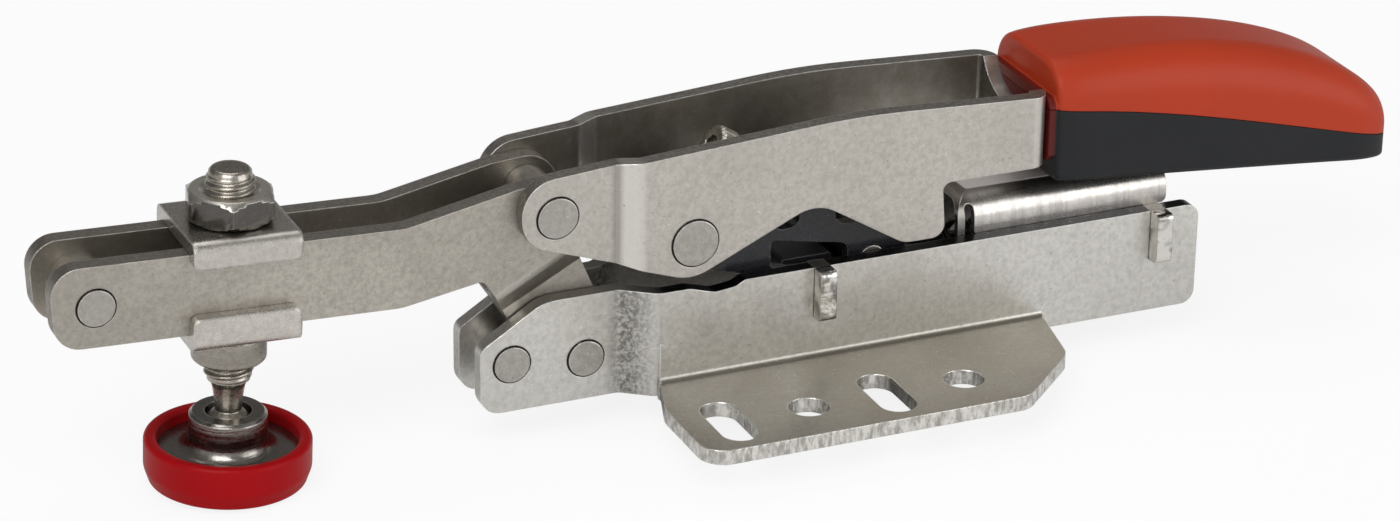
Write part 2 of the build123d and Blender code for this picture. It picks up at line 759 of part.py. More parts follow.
with BuildPart() as spring_cover:
    with BuildSketch(Plane.YZ.offset(cover_front_x)):
        with BuildLine():
            FilletPolyline(
                (-cover_half + cover_sheet / 2, cover_bottom_z),
                (-cover_half + cover_sheet / 2, cover_top_z - cover_sheet / 2),
                (cover_half - cover_sheet / 2, cover_top_z - cover_sheet / 2),
                (cover_half - cover_sheet / 2, cover_bottom_z),
                radius=cover_bend,
            )
        trace(line_width=cover_sheet)
    extrude(amount=cover_rear_x - cover_front_x)
    with BuildSketch(Plane.XZ.offset(-cover_width)):
        with BuildLine():
            outline(
                [
                    (cover_front_x, cover_bottom_z),
                    (cover_front_x, cover_top_z),
                    (cover_rear_x, cover_top_z),
                    (cover_rear_x, cover_edge_z),
                    (arch_rear_x, cover_edge_z),
                    (arch_rear_x, arch_crown_z),
                    (arch_front_x, arch_crown_z),
                    (arch_front_x, cover_bottom_z),
                ],
                [0.4, 3.2, 4.0, 1.0, 0.5, 0.78, 0.78, 0.4],
            )
        make_face()
    extrude(amount=2 * cover_width, mode=Mode.INTERSECT)
spring_cover.part.label = "spring_cover"
export_step(spring_cover.part, "parts/spring_cover.step")

# ---------------------------------------------------------------- grip
grip_half = grip_width / 2
grip_front_x = handle_web_x + grip_neck
grip_rear_x = grip_front_x + grip_length
grip_sweep = grip_length - grip_peak + grip_overhang
seam = [
    (handle_web_x, seam_front_z),
    (grip_front_x + seam_mid, seam_mid_z),
    (grip_rear_x - seam_low, seam_low_z),
    (grip_rear_x + seam_overrun, seam_rear_z),
]


def quarter(share):
    """How far a quarter of an ellipse has dropped, at a share of its reach."""
    return 1 - math.sqrt(1 - min(max(share, 0.0), 1.0) ** 2)


def grip_section(x):
    """Bottom, top and half width of the grip at a place along X."""
    ahead = 1 - (x - grip_front_x) / grip_peak
    behind = (x - grip_front_x - grip_peak) / grip_sweep
    high_z = grip_top_z - grip_front_dip * max(ahead, 0.0) ** 2 - grip_fall * quarter(behind)
    low_z = grip_belly_z - (grip_belly_z - grip_toe_z) * (x - grip_front_x) / grip_length
    half = grip_half - grip_front_draw * quarter(1 - (x - grip_front_x) / grip_front_round)
    half -= grip_rear_draw * quarter(1 - (grip_rear_x - x) / grip_rear_round)
    return low_z, high_z, half


def grip_shell(label, far_z):
    """One shell of the grip: the whole form, kept on one side of the seam."""
    with BuildPart() as shell:
        # The sections lie closer together towards both ends.
        for step in range(grip_steps + 1):
            x = grip_front_x + grip_length * (1 - math.cos(math.pi * step / grip_steps)) / 2
            low_z, high_z, half = grip_section(x)
            height = high_z - low_z
            with BuildSketch(Plane.YZ.offset(x)):
                with BuildLine():
                    crown = grip_crown * height
                    keel = grip_keel * height
                    outline(
                        [(-half, low_z), (half, low_z), (half, high_z), (-half, high_z)],
                        [keel, keel, crown, crown],
                    )
                make_face()
        loft()
        with BuildSketch(Plane.YZ.offset(handle_web_x)) as neck:
            with Locations((0, (neck_bottom_z + neck_top_z) / 2)):
                Rectangle(neck_width, neck_top_z - neck_bottom_z)
            fillet(neck.vertices(), 2.0)
        extrude(amount=grip_neck + 1.0)
        # Only what lies on one side of the seam is kept.
        with BuildSketch(Plane.XZ.offset(-grip_width)):
            with BuildLine():
                Spline(*seam)
                Polyline(seam[-1], (seam[-1][0], far_z), (seam[0][0], far_z), seam[0])
            make_face()
        extrude(amount=2 * grip_width, mode=Mode.INTERSECT)
    shell.part.label = label
    export_step(shell.part, "parts/" + label + ".step")
    return shell.part


grip_top = grip_shell("grip_top", grip_top_z + grip_width)
grip_base = grip_shell("grip_base", grip_toe_z - grip_width)

# ---------------------------------------------------------------- saddles
saddle_inner = arm_outer + saddle_gap
saddle_wall = saddle_half_width - saddle_inner


def saddle(label, back, sheet, lip):
    """A channel that grips the arm's edges; back is the height of its outer face."""
    toward = 1 if lip > 0 else -1
    with BuildPart() as piece:
        with BuildSketch(on_spindle(back)):
            Rectangle(saddle_length, 2 * saddle_half_width)
            Circle(spindle_radius + spindle_gap, mode=Mode.SUBTRACT)
        extrude(amount=toward * sheet)
        with BuildSketch(on_spindle(back + toward * sheet)):
            for side in (-1, 1):
                with Locations((0, side * (saddle_half_width - saddle_wall / 2))):
                    Rectangle(saddle_length, saddle_wall)
        extrude(amount=lip)
        outer = piece.edges().filter_by(lambda e: abs(e.length - saddle_length) < 0.01)
        outer = outer.sort_by(lambda e: abs(e.center().Y))[-4:]
        back_edges = outer.sort_by(Axis.Z)[-2:] if lip < 0 else outer.sort_by(Axis.Z)[:2]
        fillet(back_edges, saddle_wall * 0.8)
        # The lips' free corners are rounded.
        ends = piece.edges().filter_by(Axis.Y)
        ends = ends.filter_by(lambda e: abs(e.length - saddle_wall) < 0.01)
        fillet(ends, 1.2)
    piece.part.label = label
    export_step(piece.part, "parts/" + label + ".step")
    return piece.part


top_back = arm_depth + saddle_gap + top_saddle_sheet
low_back = -saddle_gap - low_saddle_sheet
top_saddle = saddle("top_saddle", top_back, top_saddle_sheet, -top_lip_drop - saddle_gap)
low_saddle = saddle("low_saddle", low_back, low_saddle_sheet, low_lip_rise + saddle_gap)

# ---------------------------------------------------------------- nuts
with BuildPart() as lock_nut:
    with BuildSketch(on_spindle(top_back)):
        RegularPolygon(nut_across_flats / 2, 6, major_radius=False, rotation=nut_turn)
    extrude(amount=nut_height)
    # Both faces are turned off at the corners.
    corner = nut_across_flats / math.sqrt(3)
    bevel = corner - nut_across_flats / 2
    with BuildSketch(through_spindle()):
        with BuildLine():
            Polyline(
                (0, top_back),
                (nut_across_flats / 2 - 0.1, top_back),
                (corner, top_back + bevel * 0.6),
                (corner, top_back + nut_height - bevel * 0.6),
                (nut_across_flats / 2 - 0.1, top_back + nut_height),
                (0, top_back + nut_height),
                close=True,
            )
        make_face()
    revolve(axis=Axis(through_spindle().origin, through_spindle().y_dir), mode=Mode.INTERSECT)
    with BuildSketch(on_spindle(top_back)):
        Circle(spindle_radius + spindle_gap)
    extrude(amount=nut_height, mode=Mode.SUBTRACT)
lock_nut.part.label = "lock_nut"
export_step(lock_nut.part, "parts/lock_nut.step")

spindle_axis = Axis(through_spindle().origin, through_spindle().y_dir)
collar_top = low_back
collar_step = collar_top - collar_height
collar_foot = collar_step - collar_cone

with BuildPart() as collar_nut:
    with BuildSketch(through_spindle()):
        with BuildLine():
            Polyline(
                (spindle_radius + spindle_gap, collar_top),
                (collar_radius, collar_top),
                (collar_radius, collar_step),
                (collar_foot_radius, collar_foot),
                (spindle_radius + spindle_gap, collar_foot),
                close=True,
            )
        make_face()
    revolve(axis=spindle_axis)
collar_nut.part.label = "collar_nut"
export_step(collar_nut.part, "parts/collar_nut.step")

# ---------------------------------------------------------------- spindle
spindle_head = top_back + nut_height + spindle_proud
ball_z = -ball_drop
ball_shoulder = ball_z + math.sqrt(ball_radius**2 - neck_foot_radius**2)

with BuildPart() as spindle:
    with BuildSketch(through_spindle()):
        with BuildLine():
            Polyline(
                (0, spindle_head),
                (spindle_radius - 1.0, spindle_head),
                (spindle_radius, spindle_head - 1.0),
                (spindle_radius, -spindle_foot + 1.2),
                (neck_radius, -spindle_foot),
                (neck_foot_radius, ball_shoulder),
            )
            ThreePointArc(
                (neck_foot_radius, ball_shoulder),
                (ball_radius, ball_z),
                (0, ball_z - ball_radius),
            )
            Line((0, ball_z - ball_radius), (0, spindle_head))
        make_face()
    revolve(axis=spindle_axis)
    with BuildSketch(on_spindle(spindle_head)):
        RegularPolygon(2.0, 6, major_radius=False)
    extrude(amount=-3.0, mode=Mode.SUBTRACT)
spindle.part.label = "spindle"
export_step(spindle.part, "parts/spindle.step")

# ---------------------------------------------------------------- pressure pad
with BuildPart() as pad_cup:
    with BuildSketch(through_spindle()):
        with BuildLine():
            Polyline((0, -disc_bottom), (disc_radius, -disc_bottom), (disc_radius, -disc_top))
            Line((disc_radius, -disc_top), (cup_radius + cup_flare, -disc_top))
            RadiusArc((cup_radius + cup_flare, -disc_top), (cup_radius, cup_flare - disc_top), cup_flare)
            Polyline((cup_radius, cup_flare - disc_top), (cup_radius, -cup_top - 0.5), (cup_radius - 0.5, -cup_top))
            Polyline((cup_radius - 0.5, -cup_top), (0, -cup_top), (0, -disc_bottom))
        make_face()
    revolve(axis=spindle_axis)
    with BuildSketch(on_spindle(-cup_top)):
        Circle(cup_mouth)
    extrude(amount=-(ball_drop - cup_top), mode=Mode.SUBTRACT)
    with Locations(on_spindle(ball_z).origin):
        Sphere(ball_radius + ball_gap, mode=Mode.SUBTRACT)
pad_cup.part.label = "pad_cup"
export_step(pad_cup.part, "parts/pad_cup.step")

with BuildPart() as pad_cap:
    with BuildSketch(through_spindle()):
        with BuildLine():
            outline(
                [
                    (disc_radius, -cap_top),
                    (cap_radius, -cap_top),
                    (cap_radius, -cap_bottom + 2.4),
                    (cap_radius - cap_taper, -cap_bottom),
                    (0, -cap_bottom),
                    (0, -disc_bottom),
                    (disc_radius, -disc_bottom),
                ],
                [0.8, 0.8, 2.0, 0.6, 0, 0, 0],
            )
        make_face()
    revolve(axis=spindle_axis)
pad_cap.part.label = "pad_cap"
export_step(pad_cap.part, "parts/pad_cap.step")
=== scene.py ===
"""Visual model of a horizontal toggle clamp, dressed over its CAD frame.

Most CAD nodes keep their shapes and get procedural finishes. The spindle, the
adjusting screw, the nut, the collar and the grip's two shells are rebuilt here in
finer mesh, and a blank label is added on the cover.
"""

import json
import logging
import math
from dataclasses import dataclass
from enum import Enum
from functools import cache
from typing import Callable

import bmesh
import bpy
from mathutils import Matrix, Vector


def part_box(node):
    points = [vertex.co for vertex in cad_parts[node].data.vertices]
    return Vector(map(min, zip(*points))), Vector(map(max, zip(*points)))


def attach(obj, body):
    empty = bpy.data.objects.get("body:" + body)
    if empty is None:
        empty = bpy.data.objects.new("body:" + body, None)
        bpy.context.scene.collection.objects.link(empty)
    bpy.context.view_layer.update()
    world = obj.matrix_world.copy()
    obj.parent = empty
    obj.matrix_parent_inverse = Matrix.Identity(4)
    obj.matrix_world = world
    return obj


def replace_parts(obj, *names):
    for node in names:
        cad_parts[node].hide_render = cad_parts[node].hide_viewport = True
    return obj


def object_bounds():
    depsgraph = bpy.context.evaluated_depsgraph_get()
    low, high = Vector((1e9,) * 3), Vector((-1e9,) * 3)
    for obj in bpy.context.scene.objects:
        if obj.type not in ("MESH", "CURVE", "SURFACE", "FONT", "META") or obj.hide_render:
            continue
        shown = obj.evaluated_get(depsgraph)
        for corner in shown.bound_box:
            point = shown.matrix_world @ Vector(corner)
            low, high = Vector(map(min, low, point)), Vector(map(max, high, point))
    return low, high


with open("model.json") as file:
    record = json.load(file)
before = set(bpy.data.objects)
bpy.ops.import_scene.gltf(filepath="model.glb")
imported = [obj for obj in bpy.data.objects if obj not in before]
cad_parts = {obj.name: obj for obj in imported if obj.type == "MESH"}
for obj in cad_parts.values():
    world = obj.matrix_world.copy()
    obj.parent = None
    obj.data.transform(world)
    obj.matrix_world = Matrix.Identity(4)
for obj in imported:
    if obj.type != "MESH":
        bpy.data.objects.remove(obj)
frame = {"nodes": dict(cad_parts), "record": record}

logging.basicConfig(level=logging.INFO, format="%(message)s")
LOG = logging.getLogger("clamp")

MM = 0.001
SIXTH = math.pi / 3
CAD_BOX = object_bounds()


# ---- shared geometry
TILT = math.radians(2.2)
ARM_NOSE_X = -122.7
ARM_TOP_Z = 36.9
ARM_DEPTH = 13.2
SPINDLE_X = -92.7


def spindle_matrix() -> Matrix:
    """Builds the transform from spindle space, Z up the screw in metres, to the row frame.

    Its origin is where the spindle's axis crosses the arm's lower edge.

    Returns:
        A 4 by 4 matrix.
    """
    z = ARM_TOP_Z - (SPINDLE_X - ARM_NOSE_X) * math.tan(TILT) - ARM_DEPTH / math.cos(TILT)
    foot = Vector((SPINDLE_X, 0.0, z)) * MM
    return Matrix.Translation(foot) @ Matrix.Rotation(TILT, 4, "Y")


# ---- node helpers
class Node(Enum):
    """Shader node types used by the finishes and the surroundings."""

    COORD = "ShaderNodeTexCoord"
    MAPPING = "ShaderNodeMapping"
    NOISE = "ShaderNodeTexNoise"
    MIX = "ShaderNodeMix"
    MATH = "ShaderNodeMath"
    RANGE = "ShaderNodeMapRange"
    BUMP = "ShaderNodeBump"
    SEPARATE = "ShaderNodeSeparateXYZ"
    GEOMETRY = "ShaderNodeNewGeometry"
    BEVEL = "ShaderNodeBevel"
    VECTOR = "ShaderNodeVectorMath"
    RAMP = "ShaderNodeValToRGB"
    LIGHT_PATH = "ShaderNodeLightPath"
    EMISSION = "ShaderNodeEmission"
    MIX_SHADER = "ShaderNodeMixShader"


Rgb = tuple[float, float, float]
Triple = tuple[float, float, float]
BEVEL_SAMPLES = 4
EDGE_RADIUS = 0.00022
# Near-white colour of the painted glints.
GLINT_TONE: Rgb = (0.95, 0.93, 0.90)


class Nodes:
    """A node tree with short calls for the usual nodes and links."""

    def __init__(self, tree: bpy.types.NodeTree) -> None:
        """Keeps the tree.

        Args:
            tree: Where the nodes go.
        """
        self.tree = tree

    def add(self, kind: Node, inputs: dict | None = None, **settings: object) -> bpy.types.Node:
        """Adds a node.

        Args:
            kind: Which node.
            inputs: What goes into its sockets, by their name or number.
            settings: Its own settings, made before the sockets are fed.

        Returns:
            The new node.
        """
        node = self.tree.nodes.new(kind.value)
        for name, value in settings.items():
            setattr(node, name, value)
        for name, value in (inputs or {}).items():
            self.feed(node.inputs[name], value)
        return node

    def feed(self, socket: bpy.types.NodeSocket, value: object) -> None:
        """Sets a socket from a constant or links it from another socket.

        Args:
            socket: The input to set.
            value: A socket, a number or a colour.
        """
        if isinstance(value, bpy.types.NodeSocket):
            self.tree.links.new(value, socket)
        elif isinstance(value, (tuple, list)) and len(value) == 3 and socket.type == "RGBA":
            socket.default_value = (*value, 1.0)
        else:
            socket.default_value = value

    def span(
        self, value: object, low: float, high: float, out_low: float = 0.0, out_high: float = 1.0
    ) -> bpy.types.NodeSocket:
        """Maps a value from one range to another and clamps it.

        Args:
            value: The input.
            low: Input that gives out_low.
            high: Input that gives out_high.
            out_low: First output.
            out_high: Last output.

        Returns:
            The mapped value.
        """
        limits = {"From Min": low, "From Max": high, "To Min": out_low, "To Max": out_high}
        return self.add(Node.RANGE, {"Value": value, **limits}).outputs["Result"]

    def mix(self, factor: object, a: object, b: object) -> bpy.types.NodeSocket:
        """Blends two colours.

        Args:
            factor: 0 gives a and 1 gives b.
            a: First colour.
            b: Second colour.

        Returns:
            The blended colour.
        """
        return self.add(Node.MIX, {0: factor, 6: a, 7: b}, data_type="RGBA").outputs[2]

    def math(self, operation: str, a: object, b: object = 0.0) -> bpy.types.NodeSocket:
        """Combines two values.

        Args:
            operation: The math node's operation.
            a: First value.
            b: Second value.

        Returns:
            The result.
        """
        return self.add(Node.MATH, {0: a, 1: b}, operation=operation).outputs[0]

    def split(self, vector: bpy.types.NodeSocket) -> list[bpy.types.NodeSocket]:
        """Splits a vector.

        Args:
            vector: The vector socket.

        Returns:
            Its X, Y and Z sockets.
        """
        return list(self.add(Node.SEPARATE, {0: vector}).outputs)

    def both(self, *masks: object) -> object:
        """Multiplies masks, so that the result is 1 only where all are.

        Args:
            masks: Sockets or numbers.

        Returns:
            The product.
        """
        result = masks[0]
        for mask in masks[1:]:
            result = self.math("MULTIPLY", result, mask)
        return result


class Graph(Nodes):
    """A material's nodes, laid over its object coordinates."""

    def __init__(self, name: str) -> None:
        """Starts a material that holds one Principled surface.

        Args:
            name: The material's name.
        """
        self.material = bpy.data.materials.new(name)
        self.material.use_nodes = True
        super().__init__(self.material.node_tree)
        self.surface = next(n for n in self.tree.nodes if n.type == "BSDF_PRINCIPLED")
        coord = self.add(Node.COORD)
        self.coord = coord.outputs["Object"]
        self.place = self.split(self.coord)
        self.facing = self.split(coord.outputs["Normal"])

    def paint(self, inputs: dict[str, object]) -> None:
        """Sets the surface's own sockets.

        Args:
            inputs: What goes into each, by its name.
        """
        for name, value in inputs.items():
            self.feed(self.surface.inputs[name], value)

    def scaled(self, scale: Triple) -> bpy.types.NodeSocket:
        """Stretches the object coordinates.

        Args:
            scale: Factor along each axis.

        Returns:
            The stretched vector.
        """
        return self.add(Node.MAPPING, {"Vector": self.coord, "Scale": scale}).outputs["Vector"]

    def noise(
        self, scale: float, detail: float = 3.0, rough: float = 0.55, vector: object = None
    ) -> bpy.types.NodeSocket:
        """Adds fractal noise over the object coordinates.

        Args:
            scale: Cycles per metre.
            detail: Number of octaves.
            rough: How strong the fine octaves are.
            vector: Coordinates to use instead.

        Returns:
            The noise value, 0 to 1.
        """
        shape = {"Scale": scale, "Detail": detail, "Roughness": rough}
        return self.add(Node.NOISE, {"Vector": vector or self.coord, **shape}).outputs["Fac"]

    def soften(self, radius: float) -> None:
        """Rounds the edges in the shading alone.

        Args:
            radius: Radius of the rounding, in metres.
        """
        bevel = self.add(Node.BEVEL, {"Radius": radius}, samples=BEVEL_SAMPLES)
        self.paint({"Normal": bevel.outputs["Normal"]})

    def edges(self, radius: float) -> bpy.types.NodeSocket:
        """Finds sharp edges by how far the rounded normal leaves the true one.

        Args:
            radius: Width of the edge, in metres.

        Returns:
            A mask, 1 on edges.
        """
        bevel = self.add(Node.BEVEL, {"Radius": radius}, samples=BEVEL_SAMPLES)
        normals = {0: bevel.outputs["Normal"], 1: self.add(Node.GEOMETRY).outputs["Normal"]}
        likeness = self.add(Node.VECTOR, normals, operation="DOT_PRODUCT").outputs["Value"]
        return self.span(likeness, 0.995, 0.90)

    def bump(self, height: object, distance: float, strength: float = 1.0) -> None:
        """Adds relief to the surface, over any relief already there.

        Args:
            height: The height, 0 to 1.
            distance: Depth in metres at height 1.
            strength: How much of it shows.
        """
        inputs = {"Distance": distance, "Strength": strength, "Height": height}
        before = self.surface.inputs["Normal"]
        if before.is_linked:
            inputs["Normal"] = before.links[0].from_socket
        self.feed(before, self.add(Node.BUMP, inputs).outputs["Normal"])

    def past(self, axis: int, edge: float, soft: float = 0.4) -> bpy.types.NodeSocket:
        """Masks what lies beyond a place along one axis.

        Args:
            axis: 0, 1 or 2.
            edge: The place in millimetres.
            soft: Half width of the fade in millimetres; negative turns the mask round.

        Returns:
            The mask.
        """
        return self.span(self.place[axis], (edge - soft) * MM, (edge + soft) * MM)

    def faces(self, axis: int, low: float, high: float) -> bpy.types.NodeSocket:
        """Masks surfaces that face along one axis, either way.

        Args:
            axis: 0, 1 or 2.
            low: Share of the normal where the mask starts.
            high: Share where it is full.

        Returns:
            The mask.
        """
        return self.span(self.math("ABSOLUTE", self.facing[axis]), low, high)


# ---- finishes
@dataclass
class Look:
    """What a finish has worked out for its surface so far.

    Attributes:
        graph: The material's nodes.
        tone: Colour socket or colour.
        rough: Roughness socket or number.
    """

    graph: Graph
    tone: object
    rough: object

    def blend(self, mask: object, tone: Rgb, rough: float) -> None:
        """Turns the surface to another colour and roughness where the mask is 1.

        Args:
            mask: Where.
            tone: The other colour.
            rough: The other roughness.
        """
        g = self.graph
        self.tone = g.mix(mask, self.tone, tone)
        change = g.math("SUBTRACT", rough, self.rough)
        self.rough = g.math("ADD", self.rough, g.both(change, mask))


@dataclass(frozen=True)
class Metal:
    """A metal finish: plated, rolled, blackened or turned.

    Attributes:
        name: Material name.
        color: Reflected colour.
        stain: Colour of the duller patches.
        roughness: Mean roughness.
        grain: Depth of the fine grain, in metres.
        grain_scale: Cycles of grain per metre.
        brush: Stretch of the grain along each axis.
        edge_highlight: How strongly the painted highlight on the edges shows.
        metallic: 1 for bare metal, less for a blackened one.
        glint_share: How strongly the painted glints on single grains show.
        soft: Radius that rounds the edges in the shading, in metres.
    """

    name: str
    color: Rgb
    stain: Rgb
    roughness: float
    grain: float = 0.00002
    grain_scale: float = 2600.0
    brush: Triple = (1.0, 1.0, 1.0)
    edge_highlight: float = 0.7
    metallic: float = 1.0
    glint_share: float = 0.35
    soft: float = EDGE_RADIUS

    def zones(self, look: Look) -> None:
        """Changes parts of the surface; a plain metal has none.

        Args:
            look: The surface so far.
        """

    def build(self) -> bpy.types.Material:
        """Makes the material.

        Returns:
            The material.
        """
        g = Graph(self.name)
        g.soften(self.soft)
        dull, pitted = (tuple(c * share for c in self.stain) for share in (0.8, 0.35))
        patch = g.span(g.noise(48.0, 5.0, 0.62), 0.36, 0.66)
        speck = g.span(g.noise(1100.0, 4.0, 0.7), 0.44, 0.62)
        cell = g.span(g.noise(900.0, 3.0, 0.65), 0.46, 0.62, 0.0, 0.25)
        fine = g.noise(self.grain_scale, 3.0, 0.6, g.scaled(self.brush))
        tone = g.mix(g.both(patch, 0.6), self.color, self.stain)
        tone = g.mix(g.both(speck, 0.42), tone, dull)
        tone = g.mix(cell, tone, dull)
        rough = g.math("ADD", g.span(fine, 0.3, 0.7, -0.05, 0.06), self.roughness)
        look = Look(g, tone, g.math("ADD", rough, g.both(patch, 0.05)))
        self.zones(look)
        pit = g.span(g.noise(1700.0, 2.0, 0.5), 0.68, 0.76, 0.0, 0.45)
        look.tone = g.mix(pit, look.tone, pitted)
        # Painted glints: single grains turned near white, as if they caught the light.
        glint = g.noise(2900.0, 1.0, 0.5, g.scaled((1.0, 1.3, 0.9)))
        look.tone = g.mix(g.span(glint, 0.72, 0.78, 0.0, self.glint_share), look.tone, GLINT_TONE)
        # Painted highlight: sharp edges turned brighter, standing in for the thin bright lines that light
        # draws along them.
        highlight_share = g.span(g.noise(700.0, 3.0, 0.6), 0.35, 0.6, 0.25, self.edge_highlight)
        bright = tuple(min(0.92, c * 1.4 + 0.25) for c in self.color)
        look.tone = g.mix(g.both(g.edges(EDGE_RADIUS), highlight_share), look.tone, bright)
        g.paint({"Base Color": look.tone, "Roughness": look.rough, "Metallic": self.metallic})
        g.bump(g.noise(260.0, 2.0, 0.5), self.grain * 1.5, 0.4)
        g.bump(fine, self.grain)
        return g.material


@dataclass(frozen=True)
class CutSheet(Metal):
    """Sheet steel whose punched edges are rougher and darker than its faces, the dark partly their own and
    partly painted shade.

    Attributes:
        cut: Colour of the punched edges, partly their own and partly painted shade, and of the painted
            shade on one side of a bend.
        band: X of the bend that crosses the sheet, start and end in millimetres, if any; it gets a painted
            shade and a painted highlight.
    """

    cut: Rgb = (0.20, 0.185, 0.165)
    band: tuple[float, float] | None = None

    FOLD_HIGHLIGHT = (0.68, 0.66, 0.62)
    INNER_SHADE = (0.25, 0.225, 0.185)
    BEND_HIGHLIGHT = (0.66, 0.64, 0.60)

    def zones(self, look: Look) -> None:
        """Darkens the punched edges, paints shade on the inner faces, a highlight on faces that lean a
        little, and a shade and a highlight at the bend.

        Args:
            look: The surface so far.
        """
        g = look.graph
        # Punched edges: darker and rougher, partly their own cut and partly painted shade for the dark that
        # they reflect.
        edge = g.math("SUBTRACT", 1.0, g.faces(1, 0.25, 0.5))
        streak = g.span(g.noise(1500.0, 3.0, 0.6), 0.35, 0.65, 0.55, 1.0)
        look.blend(g.both(edge, streak), self.cut, 0.46)
        # Painted highlight: faces that lean a little off the sheet's plane, such as the arm's fold, are
        # painted lighter as if they caught more light.
        lean = g.span(g.math("ABSOLUTE", g.facing[1]), 0.9995, 0.99, 0.0, 0.4)
        look.blend(g.both(lean, g.faces(1, 0.8, 0.86)), self.FOLD_HIGHLIGHT, 0.28)
        # Painted shade on the inner faces, between the plates, in uneven clouds.
        inward = g.span(g.both(g.place[1], g.facing[1]), -0.0020, -0.0045)
        shade_cloud = g.span(g.noise(240.0, 4.0, 0.65), 0.35, 0.65, 0.55, 0.9)
        look.blend(g.both(inward, shade_cloud), self.INNER_SHADE, 0.42)
        if self.band:
            low, high = self.band
            # Painted shade at the bend's start, then a painted highlight up to its end.
            dark = g.both(g.past(0, low - 0.9, 0.5), g.past(0, low + 0.5, -0.4))
            look.blend(g.both(dark, 0.55), self.cut, 0.42)
            light = g.both(g.past(0, low + 0.6, 0.5), g.past(0, high, -0.9))
            look.blend(g.both(light, 0.6), self.BEND_HIGHLIGHT, 0.28)


@dataclass(frozen=True)
class BaseSheet(Metal):
    """The base plates' bright plating, with its bends, its flange and a top edge darkened by painted dark
    reflection.
    """

    def zones(self, look: Look) -> None:
        """Darkens the joggle in streaks, gives the flange top tarnish and painted shade, adds the edges and
        paints a dark reflection on the top edge.

        Args:
            look: The surface so far.
        """
        g = look.graph
        # Places on the plates, in millimetres.
        joggle_start, joggle_end, dark_crest_x = -31.4, -26.6, -27.0
        rim_near, rim_far, rim_z = 14.5, 15.5, 2.45
        flange_z, bend_foot, bend_top, crest_z = 6.0, 2.3, 6.4, 16.0
        upward = g.span(g.facing[2], 0.35, 0.6)
        # Dark streaked band over the joggle.
        joggle = g.both(g.past(0, joggle_start, 1.2), g.past(0, joggle_end, -2.2))
        streak = g.span(g.noise(1500.0, 3.0, 0.7), 0.38, 0.60, 0.35, 1.0)
        look.blend(g.both(joggle, streak, 0.85), (0.10, 0.093, 0.082), 0.42)
        # Flange top darker and browner: tarnish, and painted shade for the dark it reflects from above.
        flange = g.both(upward, g.past(2, flange_z, -1.0))
        cloud = g.span(g.noise(60.0, 4.0, 0.6), 0.3, 0.7, 0.55, 1.0)
        look.blend(g.both(flange, cloud, 0.75), (0.26, 0.235, 0.19), 0.40)
        outer = g.span(g.math("ABSOLUTE", g.place[1]), rim_near * MM, rim_far * MM)
        level = g.faces(2, 0.2, 0.4)
        rim = g.both(outer, g.past(2, rim_z, -0.1), g.math("SUBTRACT", 1.0, level))
        shear = g.span(g.noise(1100.0, 3.0, 0.7, g.scaled((1.0, 1.0, 0.35))), 0.40, 0.62)
        look.blend(rim, (0.72, 0.70, 0.66), 0.20)
        look.blend(g.both(rim, shear, 0.7), (0.22, 0.21, 0.19), 0.34)
        g.bump(g.both(rim, g.noise(900.0, 2.0, 0.6, g.scaled((1.0, 1.0, 0.3)))), 0.0002)
        bend = g.both(g.past(2, bend_top, -1.4), g.past(2, bend_foot, 0.3))
        fold = g.both(bend, g.span(g.facing[2], 0.2, 0.6))
        look.blend(g.both(fold, 0.5), (0.24, 0.21, 0.165), 0.36)
        # Painted dark reflection on the top edge: dark grey ahead of X −27 mm, near black behind it.
        crest = g.both(upward, g.past(2, crest_z, 0.3))
        look.blend(g.both(crest, g.past(0, dark_crest_x, -3.0)), (0.24, 0.225, 0.20), 0.42)
        look.blend(g.both(crest, g.past(0, dark_crest_x, 3.0)), (0.010, 0.010, 0.012), 0.32)


@dataclass(frozen=True)
class HammeredEnds(Metal):
    """A cross plate whose riveted-over ends are beaten and shiny."""

    def zones(self, look: Look) -> None:
        """Dents the ends.

        Args:
            look: The surface so far.
        """
        g = look.graph
        near, far = 9.7 * MM, 10.0 * MM
        end = g.span(g.math("ABSOLUTE", g.place[1]), near, far)
        dent = g.noise(380.0, 2.0, 0.5)
        look.blend(end, (0.70, 0.68, 0.64), 0.17)
        look.blend(g.both(end, g.span(dent, 0.5, 0.62, 0.0, 0.7)), (0.16, 0.15, 0.14), 0.3)
        g.bump(g.both(end, dent), 0.0006)


@dataclass(frozen=True)
class RivetHead(Metal):
    """A pin whose head has a dark seam round it."""

    def zones(self, look: Look) -> None:
        """Darkens the slope round each head.

        Args:
            look: The surface so far.
        """
        g = look.graph
        slope = g.both(g.faces(1, 0.15, 0.35), g.math("SUBTRACT", 1.0, g.faces(1, 0.88, 0.97)))
        look.blend(slope, (0.015, 0.013, 0.012), 0.5)


@dataclass(frozen=True)
class Turned(Metal):
    """A turned piece with fine rings round the spindle's axis."""

    def zones(self, look: Look) -> None:
        """Adds the tool's rings.

        Args:
            look: The surface so far.
        """
        g = look.graph
        rings = g.noise(2300.0, 2.0, 0.6, g.scaled((0.04, 0.02, 1.0)))
        look.blend(g.span(rings, 0.42, 0.62, 0.0, 0.5), (0.24, 0.22, 0.20), 0.34)
        g.bump(rings, 0.00004)


@dataclass(frozen=True)
class NutSteel(Metal):
    """A nut with smooth flats painted dark as painted reflection, and a turned top face painted paler as
    painted light.
    """

    def zones(self, look: Look) -> None:
        """Paints the top face paler, as painted light.

        Args:
            look: The surface so far.
        """
        g = look.graph
        # Painted light: the top face paler than the flats.
        look.blend(g.span(g.facing[2], 0.35, 0.9), (0.70, 0.67, 0.61), 0.3)


